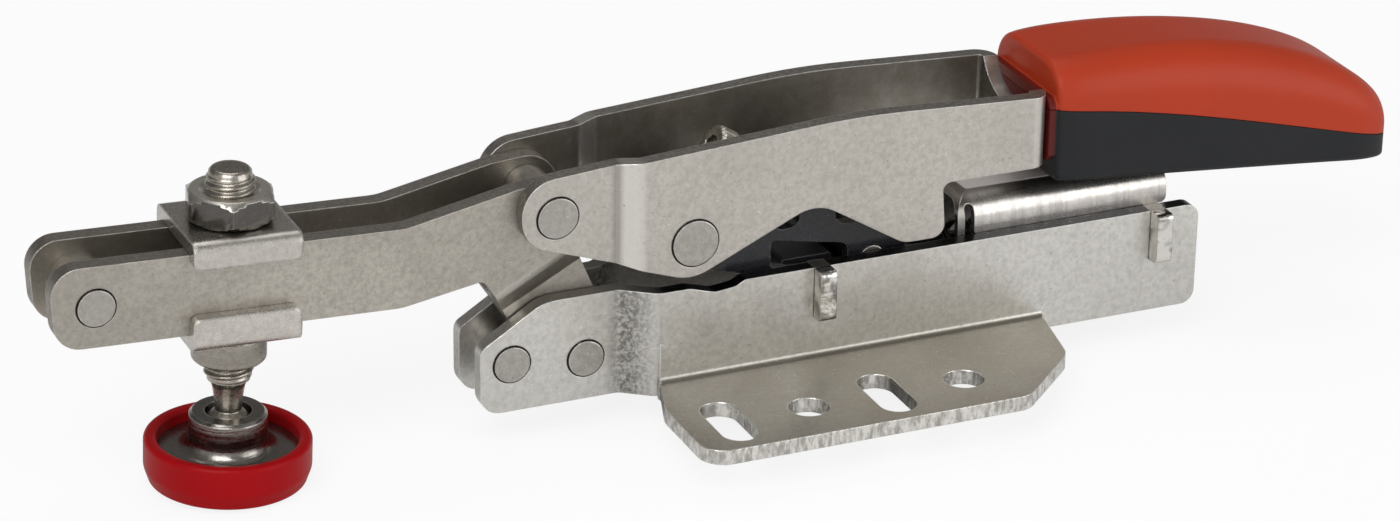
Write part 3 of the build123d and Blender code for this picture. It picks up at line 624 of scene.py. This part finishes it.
@dataclass(frozen=True)
class CoverSheet(Metal):
    """The cover's drawn sheet, streaked across its sides, rougher on top, with painted shade on its top and
    on its front loop.
    """

    def zones(self, look: Look) -> None:
        """Paints shade on the top and roughens it, streaks the sides and paints a dark reflection on the
        front loop.

        Args:
            look: The surface so far.
        """
        g = look.graph
        # Painted shade: upward faces darker and rougher, standing in for the dark they reflect from above.
        upward = g.span(g.facing[2], 0.85, 0.97, 0.0, 0.8)
        look.blend(upward, (0.26, 0.235, 0.22), 0.40)
        streak = g.span(g.noise(900.0, 3.0, 0.6, g.scaled((1.0, 0.05, 0.05))), 0.42, 0.66, 0.0, 0.4)
        look.blend(streak, (0.30, 0.28, 0.26), 0.34)
        # Painted dark reflection on the front loop, which turns to face the handle's underside.
        loop_end = 31.0
        look.blend(g.both(g.past(0, loop_end, -0.6), 0.75), (0.17, 0.16, 0.145), 0.30)


@dataclass(frozen=True)
class Plastic:
    """A moulded plastic finish.

    Attributes:
        name: Material name.
        color: Body colour.
        shade: Colour in worn or dusty places.
        roughness: Mean roughness.
        texture: Depth of the mould texture, in metres.
        dirt: How strongly the dark specks show.
        gloss: Specular level.
        neck_tone: Darker colour where the grip meets its neck, if any.
    """

    name: str
    color: Rgb
    shade: Rgb
    roughness: float
    texture: float = 0.000012
    dirt: float = 0.3
    gloss: float = 0.35
    neck_tone: Rgb | None = None

    def build(self) -> bpy.types.Material:
        """Makes the material.

        Returns:
            The material.
        """
        g = Graph(self.name)
        g.soften(0.0003)
        cloud = g.span(g.noise(38.0, 4.0, 0.6), 0.35, 0.7, 0.0, 0.6)
        tone = g.mix(cloud, self.color, self.shade)
        speck = g.span(g.noise(1100.0, 2.0, 0.5), 0.71, 0.76, 0.0, self.dirt)
        tone = g.mix(speck, tone, (0.02, 0.015, 0.012))
        neck_end = 43.5
        if self.neck_tone:
            tone = g.mix(g.past(0, neck_end, -0.15), tone, self.neck_tone)
        fine = g.noise(3800.0, 2.0, 0.5)
        rough = g.math("ADD", g.span(fine, 0.3, 0.7, -0.04, 0.05), self.roughness)
        g.paint({"Base Color": tone, "Roughness": rough, "IOR": 1.47, "Specular IOR Level": self.gloss})
        g.bump(g.noise(140.0, 2.0, 0.5), self.texture * 4.0, 0.5)
        g.bump(fine, self.texture)
        return g.material


class Finish(Enum):
    """Every finish of the clamp; those named after a record slot are that slot's own."""

    NICKEL = CutSheet("nickel_sheet", (0.54, 0.515, 0.475), (0.42, 0.395, 0.36), 0.36)
    PLATED = BaseSheet("plated_sheet", (0.70, 0.685, 0.65), (0.53, 0.515, 0.48), 0.31, 0.00002, glint_share=0.6)
    COVER = CoverSheet(
        "cover_steel", (0.72, 0.685, 0.65), (0.60, 0.57, 0.54), 0.27, 0.000006, 1400.0, (0.05, 1, 1)
    )
    PIN = RivetHead("pin_steel", (0.47, 0.45, 0.42), (0.34, 0.32, 0.29), 0.33, soft=0.0004)
    ZINC = Metal("zinc_steel", (0.42, 0.39, 0.345), (0.27, 0.245, 0.21), 0.26, 0.000015)
    BLACK = Metal(
        "black_steel", (0.018, 0.018, 0.022), (0.009, 0.009, 0.011), 0.2, 0.00001, metallic=0.2, glint_share=0.1
    )
    DARK = Metal(
        "dark_steel", (0.030, 0.030, 0.035), (0.018, 0.018, 0.02), 0.3, 0.00002, metallic=0.5, glint_share=0.1
    )
    RED = Plastic(
        "orange_red", (0.36, 0.033, 0.009), (0.31, 0.029, 0.009),
        0.42, gloss=0.22, neck_tone=(0.10, 0.008, 0.005),
    )
    GREY = Plastic(
        "dark_grey", (0.009, 0.0095, 0.0108), (0.013, 0.0135, 0.015),
        0.5, gloss=0.25, neck_tone=(0.07, 0.006, 0.004),
    )
    RUBBER = Plastic("red_rubber", (0.30, 0.002, 0.004), (0.24, 0.002, 0.004), 0.36, 0.00001, 0.1, 0.1)
    ARM = CutSheet("arm_sheet", (0.47, 0.44, 0.39), (0.32, 0.297, 0.26), 0.38)
    HANDLE = CutSheet("handle_sheet", (0.55, 0.525, 0.48), (0.45, 0.425, 0.385), 0.35, band=(-32.3, -28.7))
    SADDLE = Metal("saddle_sheet", (0.58, 0.55, 0.51), (0.48, 0.455, 0.415), 0.27, 0.000006, soft=0.0009)
    TAB = HammeredEnds("cross_plate_steel", (0.36, 0.345, 0.31), (0.25, 0.235, 0.21), 0.34, soft=0.0004)
    # Dark colour: painted dark reflection on the nut's flats.
    NUT = NutSteel(
        "nut_steel", (0.12, 0.112, 0.103), (0.10, 0.094, 0.087), 0.12, 0.000003, edge_highlight=0.5, glint_share=0.1
    )
    COLLAR = Turned("collar_steel", (0.34, 0.315, 0.275), (0.23, 0.21, 0.18), 0.26)
    CUP = Turned(
        "cup_steel", (0.34, 0.32, 0.295), (0.20, 0.19, 0.172), 0.17, 0.00003, 900.0, edge_highlight=0.9
    )
    PAPER = Plastic("label_paper", (0.74, 0.69, 0.67), (0.70, 0.64, 0.61), 0.38, 0.000006, 0.1)

    @cache
    def material(self) -> bpy.types.Material:
        """Makes the finish's material at the first call, and keeps it.

        Returns:
            The material.
        """
        return self.value.build()


# ---- mesh helpers
class Piece:
    """A new mesh piece, built in bmesh and declared to the frame."""

    def __init__(self, name: str, body: str, slot: str) -> None:
        """Starts an empty mesh.

        Args:
            name: Object name.
            body: CAD body that carries it.
            slot: Material slot of the record; not used.
        """
        self.name = name
        self.body = body
        self.slot = slot
        self.mesh = bmesh.new()

    def grid(self, rows: int, columns: int, place: Callable[[int, int], Vector]) -> None:
        """Adds a tube of quads, closed round its columns.

        Args:
            rows: Number of rings.
            columns: Points in a ring.
            place: Gives the point for a row and a column.
        """
        rings = [[self.mesh.verts.new(place(r, c)) for c in range(columns)] for r in range(rows)]
        for low, high in zip(rings, rings[1:]):
            for c in range(columns):
                d = (c + 1) % columns
                self.mesh.faces.new((low[c], low[d], high[d], high[c]))
        self.mesh.faces.new(list(reversed(rings[0])))
        self.mesh.faces.new(rings[-1])

    def finish(self, finish: Finish, move: Matrix | None = None, smooth: float = 35.0) -> bpy.types.Object:
        """Writes the mesh to an object and declares what carries it.

        Args:
            finish: Its finish.
            move: Transform of the vertices.
            smooth: Edges sharper than this many degrees stay sharp.

        Returns:
            The object.
        """
        if move is not None:
            bmesh.ops.transform(self.mesh, matrix=move, verts=self.mesh.verts)
        bmesh.ops.recalc_face_normals(self.mesh, faces=self.mesh.faces)
        for face in self.mesh.faces:
            face.smooth = True
        for edge in self.mesh.edges:
            if len(edge.link_faces) == 2 and edge.calc_face_angle() > math.radians(smooth):
                edge.smooth = False
        data = bpy.data.meshes.new(self.name)
        self.mesh.to_mesh(data)
        self.mesh.free()
        data.materials.append(finish.material())
        piece = bpy.data.objects.new(self.name, data)
        bpy.context.scene.collection.objects.link(piece)
        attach(piece, self.body)
        LOG.info("%s: %d faces on %s", self.name, len(data.polygons), self.body)
        return piece


# ---- threads
@dataclass(frozen=True)
class Thread:
    """A screw thread's measures, in millimetres.

    Attributes:
        crest: Radius over the crests.
        depth: Depth from crest to root.
        pitch: Rise for one turn.
        ROOT: Share of half a pitch that the root's flat takes.
        FLANK: Share that the flank takes; the crest's flat has the rest.
    """

    ROOT = 0.12
    FLANK = 0.72

    crest: float
    depth: float
    pitch: float

    def radius(self, height: float, turn: float) -> float:
        """Gives the thread's radius at a place.

        Args:
            height: Along the axis.
            turn: Angle in turns.

        Returns:
            The radius.
        """
        phase = (height / self.pitch - turn) % 1.0
        ridge = 1.0 - abs(2.0 * phase - 1.0)
        ridge = min(1.0, max(0.0, (ridge - self.ROOT) / self.FLANK))
        return self.crest - self.depth * (1.0 - ridge)


@dataclass
class SpindleGroup:
    """The threaded spindle with its ball foot. Heights are in spindle space.

    Attributes:
        thread: The spindle's thread.
        head: Height of its top end, in millimetres.
        lead_in: How far below that the thread starts.
        thread_end: Where the thread ends.
        thread_steps: Steps along the thread.
        fade: Height over which the thread starts and ends.
        ball: Centre of the ball.
        ball_radius: The ball's radius.
        neck: Radius of the neck above the ball.
        columns: Points round a ring.
    """

    thread: Thread = Thread(3.88, 0.55, 1.25)
    head: float = 23.76
    lead_in: float = 0.9
    thread_end: float = -11.0
    thread_steps: int = 325
    fade: float = 0.8
    ball: float = -20.3
    ball_radius: float = 4.3
    neck: float = 2.1
    columns: int = 56

    def profile(self) -> list[tuple[float, float, bool]]:
        """Lists the rings from the top end to the ball.

        Returns:
            Height, radius and whether the ring is threaded.
        """
        head = self.head
        top = [(head, 0.01), (head, 2.2), (head, 2.75), (head - 0.12, 2.95), (head - 0.5, 3.3)]
        run = head - self.thread_end - self.lead_in
        steps = self.thread_steps
        heights = [head - self.lead_in - run * i / steps for i in range(steps + 1)]
        foot = [(-11.25, 3.35), (-11.7, 2.85), (-12.6, 2.55), (-14.2, 2.3), (-15.8, self.neck)]
        start = math.asin(self.neck / self.ball_radius)
        for angle in (start + (math.pi - start) * k / 16 for k in range(16)):
            z = self.ball + self.ball_radius * math.cos(angle)
            foot.append((z, self.ball_radius * math.sin(angle)))
        foot.append((self.ball - self.ball_radius, 0.01))
        rows = [(z, r, False) for z, r in top]
        rows += [(z, self.thread.crest, True) for z in heights]
        return rows + [(z, r, False) for z, r in foot]

    def build(self) -> None:
        """Builds the spindle in place of its CAD stand-in."""
        rows = self.profile()

        def place(row: int, column: int) -> Vector:
            z, r, threaded = rows[row]
            turn = column / self.columns
            if threaded:
                r = self.thread.radius(z, turn)
                first, last = self.head - self.lead_in - z, z - self.thread_end
                cut = min(1.0, first / self.fade, last / self.fade)
                r = (self.thread.crest - self.thread.depth) * (1 - cut) + r * cut
            angle = 2 * math.pi * turn
            return Vector((r * math.cos(angle), r * math.sin(angle), z)) * MM

        piece = Piece("spindle_screw", "spindle", "zinc_steel")
        piece.grid(len(rows), self.columns, place)
        screw = piece.finish(Finish.ZINC, spindle_matrix(), 50.0)
        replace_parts(screw, "spindle")


# ---- nut and collar
@dataclass
class HardwareGroup:
    """The hexagon nut above the arm and the turned collar below it.

    Attributes:
        seat: Height of the nut's seat in spindle space, in millimetres.
        flat: Half of the width across the nut's flats.
        shoulder: Height of the collar's upper face.
        columns: Points round a ring.
    """

    seat: float = 15.55
    flat: float = 6.5
    shoulder: float = -2.25
    columns: int = 120

    def corner(self) -> float:
        """Finds where a corner of the nut points.

        Returns:
            The angle in radians.
        """
        back = spindle_matrix().inverted()
        spots = [back @ v.co for v in frame["nodes"]["lock_nut"].data.vertices]
        far = max(spots, key=lambda p: p.x**2 + p.y**2)
        return math.atan2(far.y, far.x)

    def turned(self, name: str, finish: Finish, rows: list[tuple[float, float]], hexagon: bool) -> None:
        """Builds one turned piece in place of its CAD stand-in.

        Args:
            name: CAD node that it replaces.
            finish: Its finish.
            rows: Height and greatest radius, in millimetres.
            hexagon: Whether its sides are cut to a hexagon.
        """
        first = self.corner()

        def place(row: int, column: int) -> Vector:
            z, r = rows[row]
            angle = 2 * math.pi * column / self.columns
            if hexagon:
                r = min(r, self.flat / math.cos(angle % SIXTH - SIXTH / 2))
                angle += first
            return Vector((r * math.cos(angle), r * math.sin(angle), z)) * MM

        piece = Piece(f"{name}_turned", "saddles", "zinc_steel")
        piece.grid(len(rows), self.columns, place)
        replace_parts(piece.finish(finish, spindle_matrix(), 24.0), name)

    def build(self) -> None:
        """Builds the nut and the collar."""
        nut = [(0.0, 3.95), (0.0, 5.75), (0.1, 5.9), (0.12, 6.3), (0.25, 6.5), (0.6, 6.95), (1.0, 7.6)]
        nut += [(3.8, 7.6), (4.15, 6.95), (4.55, 6.5), (4.8, 6.15), (4.8, 4.75), (4.35, 4.05)]
        rows = [(self.seat + z, r) for z, r in nut]
        self.turned("lock_nut", Finish.NUT, rows, True)
        collar = [(0.0, 4.0), (0.0, 5.8), (-0.12, 5.95), (-0.75, 6.0), (-0.95, 5.9), (-1.05, 5.72)]
        collar += [(-1.2, 5.72), (-1.3, 5.86), (-4.9, 5.86), (-5.2, 5.78), (-5.5, 5.5), (-5.75, 5.0)]
        collar += [(-6.1, 4.5), (-6.1, 4.0)]
        rows = [(self.shoulder + z, r) for z, r in collar]
        self.turned("collar_nut", Finish.COLLAR, rows, False)


# ---- adjusting screw
@dataclass
class AdjusterGroup:
    """The knurled socket-head screw in the link's bridge.

    Attributes:
        head: Centre of the head's outer face, X and Z in millimetres.
        fall: Degrees that the screw falls towards the rear.
        thread: Its thread.
        ridges: How many ridges the knurl has.
        knurl: How deep they are, in millimetres.
        radius: The head's radius.
        height: The head's height.
        length: The whole length.
        flat: Half of the width across the socket's flats.
    """

    head: tuple[float, float] = (-12.5, 37.8)
    fall: float = 33.0
    thread: Thread = Thread(1.98, 0.32, 0.7)
    ridges: int = 26
    knurl: float = 0.2
    radius: float = 3.46
    height: float = 4.0
    length: float = 21.0
    flat: float = 1.38

    def profile(self) -> list[tuple[float, float, str]]:
        """Lists the rings from the socket's floor over the head to the tip.

        Returns:
            Height, radius and kind of each ring.
        """
        radius, height, flat = self.radius, self.height, self.flat
        socket = [(2.4, 0.01, "round"), (2.4, flat, "hexagon"), (0.12, flat, "hexagon")]
        socket += [(0.0, flat + 0.12, "hexagon"), (0.0, 2.55, "round"), (0.1, 2.9, "round")]
        head = [(0.35, radius - 0.22), (0.6, radius), (height - 0.55, radius), (height - 0.3, radius - 0.2)]
        rows = socket + [(z, r, "knurl") for z, r in head]
        rows += [(height, 2.9, "round"), (height, 2.0, "round")]
        run = self.length - height - 0.8
        steps = int(run / 0.09)
        rows += [(height + 0.2 + run * i / steps, 0.0, "thread") for i in range(steps + 1)]
        tip = [(self.length - 0.3, 1.5), (self.length, 1.2), (self.length, 0.01)]
        return rows + [(z, r, "round") for z, r in tip]

    def build(self) -> None:
        """Builds the screw in place of its CAD stand-in."""
        rows = self.profile()
        columns = self.ridges * 4

        def place(row: int, column: int) -> Vector:
            z, r, kind = rows[row]
            turn = column / columns
            angle = 2 * math.pi * turn
            if kind == "hexagon":
                r /= math.cos((angle + SIXTH / 2) % SIXTH - SIXTH / 2)
            elif kind == "knurl":
                r -= self.knurl * abs((column % 4) - 2) / 2
            elif kind == "thread":
                r = self.thread.radius(z, turn)
            return Vector((r * math.cos(angle), r * math.sin(angle), z)) * MM

        piece = Piece("adjuster_screw", "screw", "pin_steel")
        piece.grid(len(rows), columns, place)
        lean = Matrix.Rotation(math.radians(90.0 + self.fall), 4, "Y")
        origin = Vector((self.head[0], 0.0, self.head[1])) * MM
        screw = piece.finish(Finish.ZINC, Matrix.Translation(origin) @ lean, 30.0)
        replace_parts(screw, "adjusting_screw")


# ---- label
@dataclass
class LabelGroup:
    """The blank pale label on top of the spring cover.

    Attributes:
        start: Where it starts along X, in millimetres.
        length: Its length.
        width: Its width.
        corner: Radius of its corners.
        thickness: How far it stands up.
    """

    start: float = 31.6
    length: float = 27.0
    width: float = 6.2
    corner: float = 0.7
    thickness: float = 0.09

    def build(self) -> None:
        """Builds the label on the cover's top face."""
        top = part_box("spring_cover")[1][2]
        piece = Piece("cover_label", "base", "cover_steel")
        outline: list[Vector] = []
        middle = self.start + self.length / 2
        for quarter, (sx, sy) in enumerate(((1, 1), (-1, 1), (-1, -1), (1, -1))):
            cx = middle + sx * (self.length / 2 - self.corner)
            cy = sy * (self.width / 2 - self.corner)
            for step in range(7):
                angle = math.pi / 2 * (quarter + step / 6)
                x = cx + self.corner * math.cos(angle)
                y = cy + self.corner * math.sin(angle)
                outline.append(Vector((x, y, 0.0)) * MM)
        base = [piece.mesh.verts.new(p + Vector((0, 0, top))) for p in outline]
        face = piece.mesh.faces.new(base)
        lifted = bmesh.ops.extrude_face_region(piece.mesh, geom=[face])
        verts = [v for v in lifted["geom"] if isinstance(v, bmesh.types.BMVert)]
        bmesh.ops.translate(piece.mesh, vec=(0, 0, self.thickness * MM), verts=verts)
        piece.finish(Finish.PAPER)


# ---- grip
@dataclass(frozen=True)
class GripForm:
    """The grip's measures in millimetres. Length and top are 0.02 less than in the CAD.

    Attributes:
        front: X of the front face.
        length: Front to rear.
        half: Half of the width.
        top: Height of the back at its highest point.
        peak: How far behind the front that point lies.
        fall: Fall of the back's quarter ellipse.
        sweep: Reach of that ellipse.
        belly: Height of the underside at the front.
        toe: Height of the underside at the rear.
        nose: Radius that rounds the front edges.
        lead: How far the front stands ahead of the given X.
        SEAM: Points of the seam, as distance behind the front and height.
        HUMP: How much lower the front is than the highest point.
        FRONT: How much the front narrows, and over what length.
        REAR: The same for the rear.
        CROWN: Upper corners' radius as a share of the height, and its gain to the rear.
        KEEL: The lower corners' share.
    """

    SEAM = (
        (-2.5, 39.2), (15.0, 36.6), (43.5, 29.8), (63.9, 24.6),
    )
    HUMP = 0.3
    FRONT = (0.6, 6.0)
    REAR = (3.0, 8.0)
    CROWN = (0.3, 0.16)
    KEEL = 0.08
    front: float = 44.9
    length: float = 61.88
    half: float = 12.0
    top: float = 46.48
    peak: float = 8.1
    fall: float = 22.0
    sweep: float = 56.2
    belly: float = 26.4
    toe: float = 21.0
    nose: float = 0.9
    lead: float = 1.1

    @staticmethod
    def quarter(share: float) -> float:
        """Gives how far a quarter ellipse has dropped.

        Args:
            share: Share of its reach.

        Returns:
            The drop, 0 to 1.
        """
        return 1.0 - math.sqrt(1.0 - min(max(share, 0.0), 1.0) ** 2)

    def section(self, x: float) -> tuple[float, float, float]:
        """Gives one section of the grip.

        Args:
            x: Distance behind the front.

        Returns:
            Underside, back and half width.
        """
        ahead = max(1.0 - x / self.peak, 0.0)
        high = self.top - self.HUMP * ahead**2 - self.fall * self.quarter((x - self.peak) / self.sweep)
        low = self.belly - (self.belly - self.toe) * x / self.length
        half = self.half - self.FRONT[0] * self.quarter(1.0 - x / self.FRONT[1])
        half -= self.REAR[0] * self.quarter(1.0 - (self.length - x) / self.REAR[1])
        return low, high, half

    def seam(self, x: float) -> float:
        """Gives the height of the seam between the shells.

        Args:
            x: Distance behind the front.

        Returns:
            The height, by a curve through the CAD seam's four points.
        """
        height = 0.0
        for i, (xi, zi) in enumerate(self.SEAM):
            share = 1.0
            for j, (xj, _) in enumerate(self.SEAM):
                if i != j:
                    share *= (x - xj) / (xi - xj)
            height += zi * share
        return height


@dataclass
class GripGroup:
    """The two shells of the grip, with rounded front edges and a fine seam.

    Attributes:
        form: Their measures.
        seam_gap: Half of the groove between the shells.
        side: Steps along each corner or side of a section; its flat has twice as many.
        nose_steps: Steps round the front edge.
        run_steps: Steps from there to the rear.
    """

    form: GripForm = GripForm()
    seam_gap: float = 0.06
    side: int = 12
    nose_steps: int = 9
    run_steps: int = 84

    def stations(self) -> list[tuple[float, float]]:
        """Lists the sections from front to rear.

        Returns:
            Distance behind the front and how far the section is drawn in.
        """
        nose, lead, last = self.form.nose, self.form.lead, self.run_steps
        turns = [math.pi / 2 * i / self.nose_steps for i in range(self.nose_steps, -1, -1)]
        rows = [(nose * (1 - math.sin(a)) - lead, nose * (1 - math.cos(a))) for a in turns]
        span = self.form.length - nose + lead
        angles = [math.pi / 2 * i / last for i in range(1, last + 1)]
        rows += [(nose - lead + span * math.sin(a), 0.0) for a in angles]
        return rows + [(self.form.length, inset) for inset in (0.35, 0.8)]

    def ring(self, x: float, inset: float, upper: bool) -> list[Vector]:
        """Places one section's points, from the seam round the shell to the seam.

        Args:
            x: Distance behind the front.
            inset: How far it is drawn in.
            upper: Whether this is the upper shell.

        Returns:
            The points in millimetres.
        """
        low, high, half = self.form.section(x)
        height = high - low
        half -= inset
        rear = min(max(x / self.form.length, 0.0), 1.0) ** 2
        share = (self.form.CROWN[0] + self.form.CROWN[1] * rear) if upper else self.form.KEEL
        radius = max(0.15, share * height - inset * 0.5)
        edge = (high - inset) if upper else (low + inset)
        turn = 1 if upper else -1
        seam = self.form.seam(x) + turn * self.seam_gap
        seam = min(seam, edge - 0.05) if upper else max(seam, edge + 0.05)
        radius = min(radius, abs(edge - seam) * 0.95, half * 0.9)
        corner_z = edge - turn * radius
        side, rise, flat = self.side, corner_z - seam, half - radius
        turns = [math.pi / 2 * i / side for i in range(side)]
        points = [(-half, seam + rise * i / side) for i in range(side)]
        for a in turns:
            points.append((-half + radius * (1 - math.cos(a)), corner_z + turn * radius * math.sin(a)))
        points += [(-flat + 2 * flat * i / (side * 2), edge) for i in range(side * 2)]
        for a in turns:
            points.append((flat + radius * math.sin(a), edge - turn * radius * (1 - math.cos(a))))
        points += [(half, corner_z - rise * i / side) for i in range(side)]
        points.append((half, seam))
        return [Vector((self.form.front + x, y, z)) for y, z in points]

    def shell(self, upper: bool) -> bpy.types.Object:
        """Builds one shell, closed at its ends and along the seam.

        Args:
            upper: Whether this is the upper shell.

        Returns:
            The object.
        """
        name, finish = ("grip_upper", Finish.RED) if upper else ("grip_lower", Finish.GREY)
        piece = Piece(name, "handle", finish.value.name)
        shell = [self.ring(x, inset, upper) for x, inset in self.stations()]
        for rings in (shell, self.neck(upper)):
            piece.grid(len(rings), len(rings[0]), lambda row, column: rings[row][column] * MM)
        return piece.finish(finish, None, 40.0)

    def neck(self, upper: bool) -> list[list[Vector]]:
        """Places the neck between the handle's web and the shell.

        Args:
            upper: Whether this is the upper shell's share.

        Returns:
            Two sections of it.
        """
        half, cut, low, high = 10.8, 1.2, 30.0, 41.0
        turn, far = (1, high) if upper else (-1, low)
        rows: list[list[Vector]] = []
        for x in (-2.5, 1.0):
            seam = self.form.seam(x) + turn * self.seam_gap
            loop = [(-half, seam), (-half, far - turn * cut), (-half + cut, far)]
            loop += [(half - cut, far), (half, far - turn * cut), (half, seam)]
            rows.append([Vector((self.form.front + x, y, z)) for y, z in loop])
        return rows

    def build(self) -> None:
        """Builds both shells in place of their CAD stand-ins."""
        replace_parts(self.shell(True), "grip_top")
        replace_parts(self.shell(False), "grip_base")


# ---- CAD finishes
class Dresser:
    """Puts finishes on the CAD nodes."""

    BY_SLOT: dict[str, Finish] = {finish.value.name: finish for finish in Finish}
    BY_NODE: dict[str, Finish] = {
        "front_cross_plate": Finish.TAB,
        "rear_cross_plate": Finish.TAB,
        "arm_plate_left": Finish.ARM,
        "arm_plate_right": Finish.ARM,
        "handle_bracket": Finish.HANDLE,
        "top_saddle": Finish.SADDLE,
        "low_saddle": Finish.SADDLE,
        "pad_cup": Finish.CUP,
    }

    def dress(self) -> None:
        """Paints every CAD node in its own finish, or else in its record slot's."""
        for part in frame["record"]["subparts"]:
            node = frame["nodes"][part["node"]]
            finish = self.BY_NODE.get(part["node"], self.BY_SLOT[part["material_slot"]])
            material = finish.material()
            node.data.materials.clear()
            node.data.materials.append(material)
            LOG.info("%s: %s", part["node"], material.name)


# ---- studio
@dataclass(frozen=True)
class Camera:
    """The camera's place and lens.

    Attributes:
        position: In millimetres.
        right: Unit vector to the right of the picture.
        up: Unit vector to the top of the picture.
        lens: Focal length for a 36 mm sensor.
    """

    position: Triple = (-282.523, -603.651, 314.380)
    right: Triple = (0.91606285, -0.4007977, 0.0137864)
    up: Triple = (0.152682, 0.38034558, 0.91215429)
    lens: float = 116.45

    def build(self) -> None:
        """Adds the camera and makes it the scene's own."""
        data = bpy.data.cameras.new("camera")
        data.lens = self.lens
        data.sensor_width = 36.0
        data.sensor_fit = "HORIZONTAL"
        data.clip_start = 0.01
        data.clip_end = 20.0
        view = bpy.data.objects.new("camera", data)
        right, up = Vector(self.right), Vector(self.up)
        basis = Matrix((right, up, right.cross(up))).transposed().to_4x4()
        view.matrix_world = Matrix.Translation(Vector(self.position) * MM) @ basis
        bpy.context.scene.collection.objects.link(view)
        bpy.context.scene.camera = view


class Studio:
    """Plain pale floor, white backdrop and soft lamps.

    Attributes:
        SKY: Brightness of the surroundings by height, from below to overhead.
        BEHIND: Colour of the darker room behind the object.
        WHITE: Colour that the camera sees behind everything.
        AIM: The point that every lamp faces, in metres.
    """

    SKY = ((0.0, 0.75), (0.52, 0.85), (0.74, 0.42), (1.0, 0.22))
    BEHIND: Rgb = (0.16, 0.155, 0.15)
    WHITE: Rgb = (1.0, 1.0, 1.0)
    AIM: Triple = (0.0, 0.0, 0.02)

    def lamp(self, name: str, place: Triple, size: float, power: float) -> None:
        """Adds a soft square lamp.

        Args:
            name: Its name.
            place: Position in metres.
            size: Side in metres.
            power: Watts.
        """
        data = bpy.data.lights.new(name, "AREA")
        data.shape = "SQUARE"
        data.size = size
        data.energy = power
        lamp = bpy.data.objects.new(name, data)
        direction = Vector(self.AIM) - Vector(place)
        turn = direction.to_track_quat("-Z", "Y").to_matrix().to_4x4()
        lamp.matrix_world = Matrix.Translation(Vector(place)) @ turn
        bpy.context.scene.collection.objects.link(lamp)

    def world(self) -> None:
        """Fills the surroundings: white to the camera, a soft gradient to the metal."""
        world = bpy.data.worlds.new("studio")
        bpy.context.scene.world = world
        world.use_nodes = True
        g = Nodes(world.node_tree)
        _, rear, height = g.split(g.add(Node.COORD).outputs["Generated"])
        ramp = g.add(Node.RAMP, {"Fac": g.span(height, -1.0, 1.0)})
        stops = ramp.color_ramp.elements
        stops.remove(stops[1])
        for at, shade in self.SKY:
            stop = stops.new(at) if at else stops[0]
            stop.color = (shade, shade, shade, 1)
        # Behind the object the room is darker, so upward faces keep their own shade.
        mask = g.both(g.span(rear, 0.0, 0.55), g.span(height, 0.0, 0.22))
        shaded = g.mix(mask, ramp.outputs["Color"], self.BEHIND)
        seen = g.add(Node.LIGHT_PATH).outputs["Is Camera Ray"]
        back = next(n for n in g.tree.nodes if n.type == "BACKGROUND")
        g.feed(back.inputs["Color"], g.mix(seen, shaded, self.WHITE))
        back.inputs["Strength"].default_value = 1.0

    def floor(self, level: float) -> None:
        """Adds the floor under the object.

        Args:
            level: Its height in metres.
        """
        mesh = bmesh.new()
        bmesh.ops.create_grid(mesh, x_segments=2, y_segments=2, size=6.0)
        data = bpy.data.meshes.new("floor")
        mesh.to_mesh(data)
        mesh.free()
        floor = bpy.data.objects.new("floor", data)
        floor.location.z = level
        bpy.context.scene.collection.objects.link(floor)
        g = Graph("floor_paper")
        g.paint({"Base Color": (0.86, 0.86, 0.86), "Roughness": 0.9})
        glow = g.add(Node.EMISSION, {"Color": self.WHITE})
        share = g.both(g.add(Node.LIGHT_PATH).outputs["Is Camera Ray"], 0.86)
        layers = {0: share, 1: g.surface.outputs[0], 2: glow.outputs[0]}
        blend = g.add(Node.MIX_SHADER, layers)
        out = next(n for n in g.tree.nodes if n.type == "OUTPUT_MATERIAL")
        g.feed(out.inputs["Surface"], blend.outputs[0])
        data.materials.append(g.material)

    def build(self) -> None:
        """Sets the whole studio up."""
        bpy.context.scene.view_settings.view_transform = "Standard"
        self.world()
        self.floor(CAD_BOX[0][2] - 0.0002)
        self.lamp("key", (-0.5, -0.55, 0.75), 0.7, 7.0)
        self.lamp("fill", (0.7, -0.7, 0.35), 0.8, 4.0)
        self.lamp("back", (0.0, 0.35, 1.1), 0.7, 3.0)


def main() -> None:
    """Dresses the frame, adds the new pieces and lights them."""
    Dresser().dress()
    for group in (SpindleGroup, HardwareGroup, AdjusterGroup, LabelGroup, GripGroup):
        group().build()
    Camera().build()
    Studio().build()


if __name__ == "__main__":
    main()
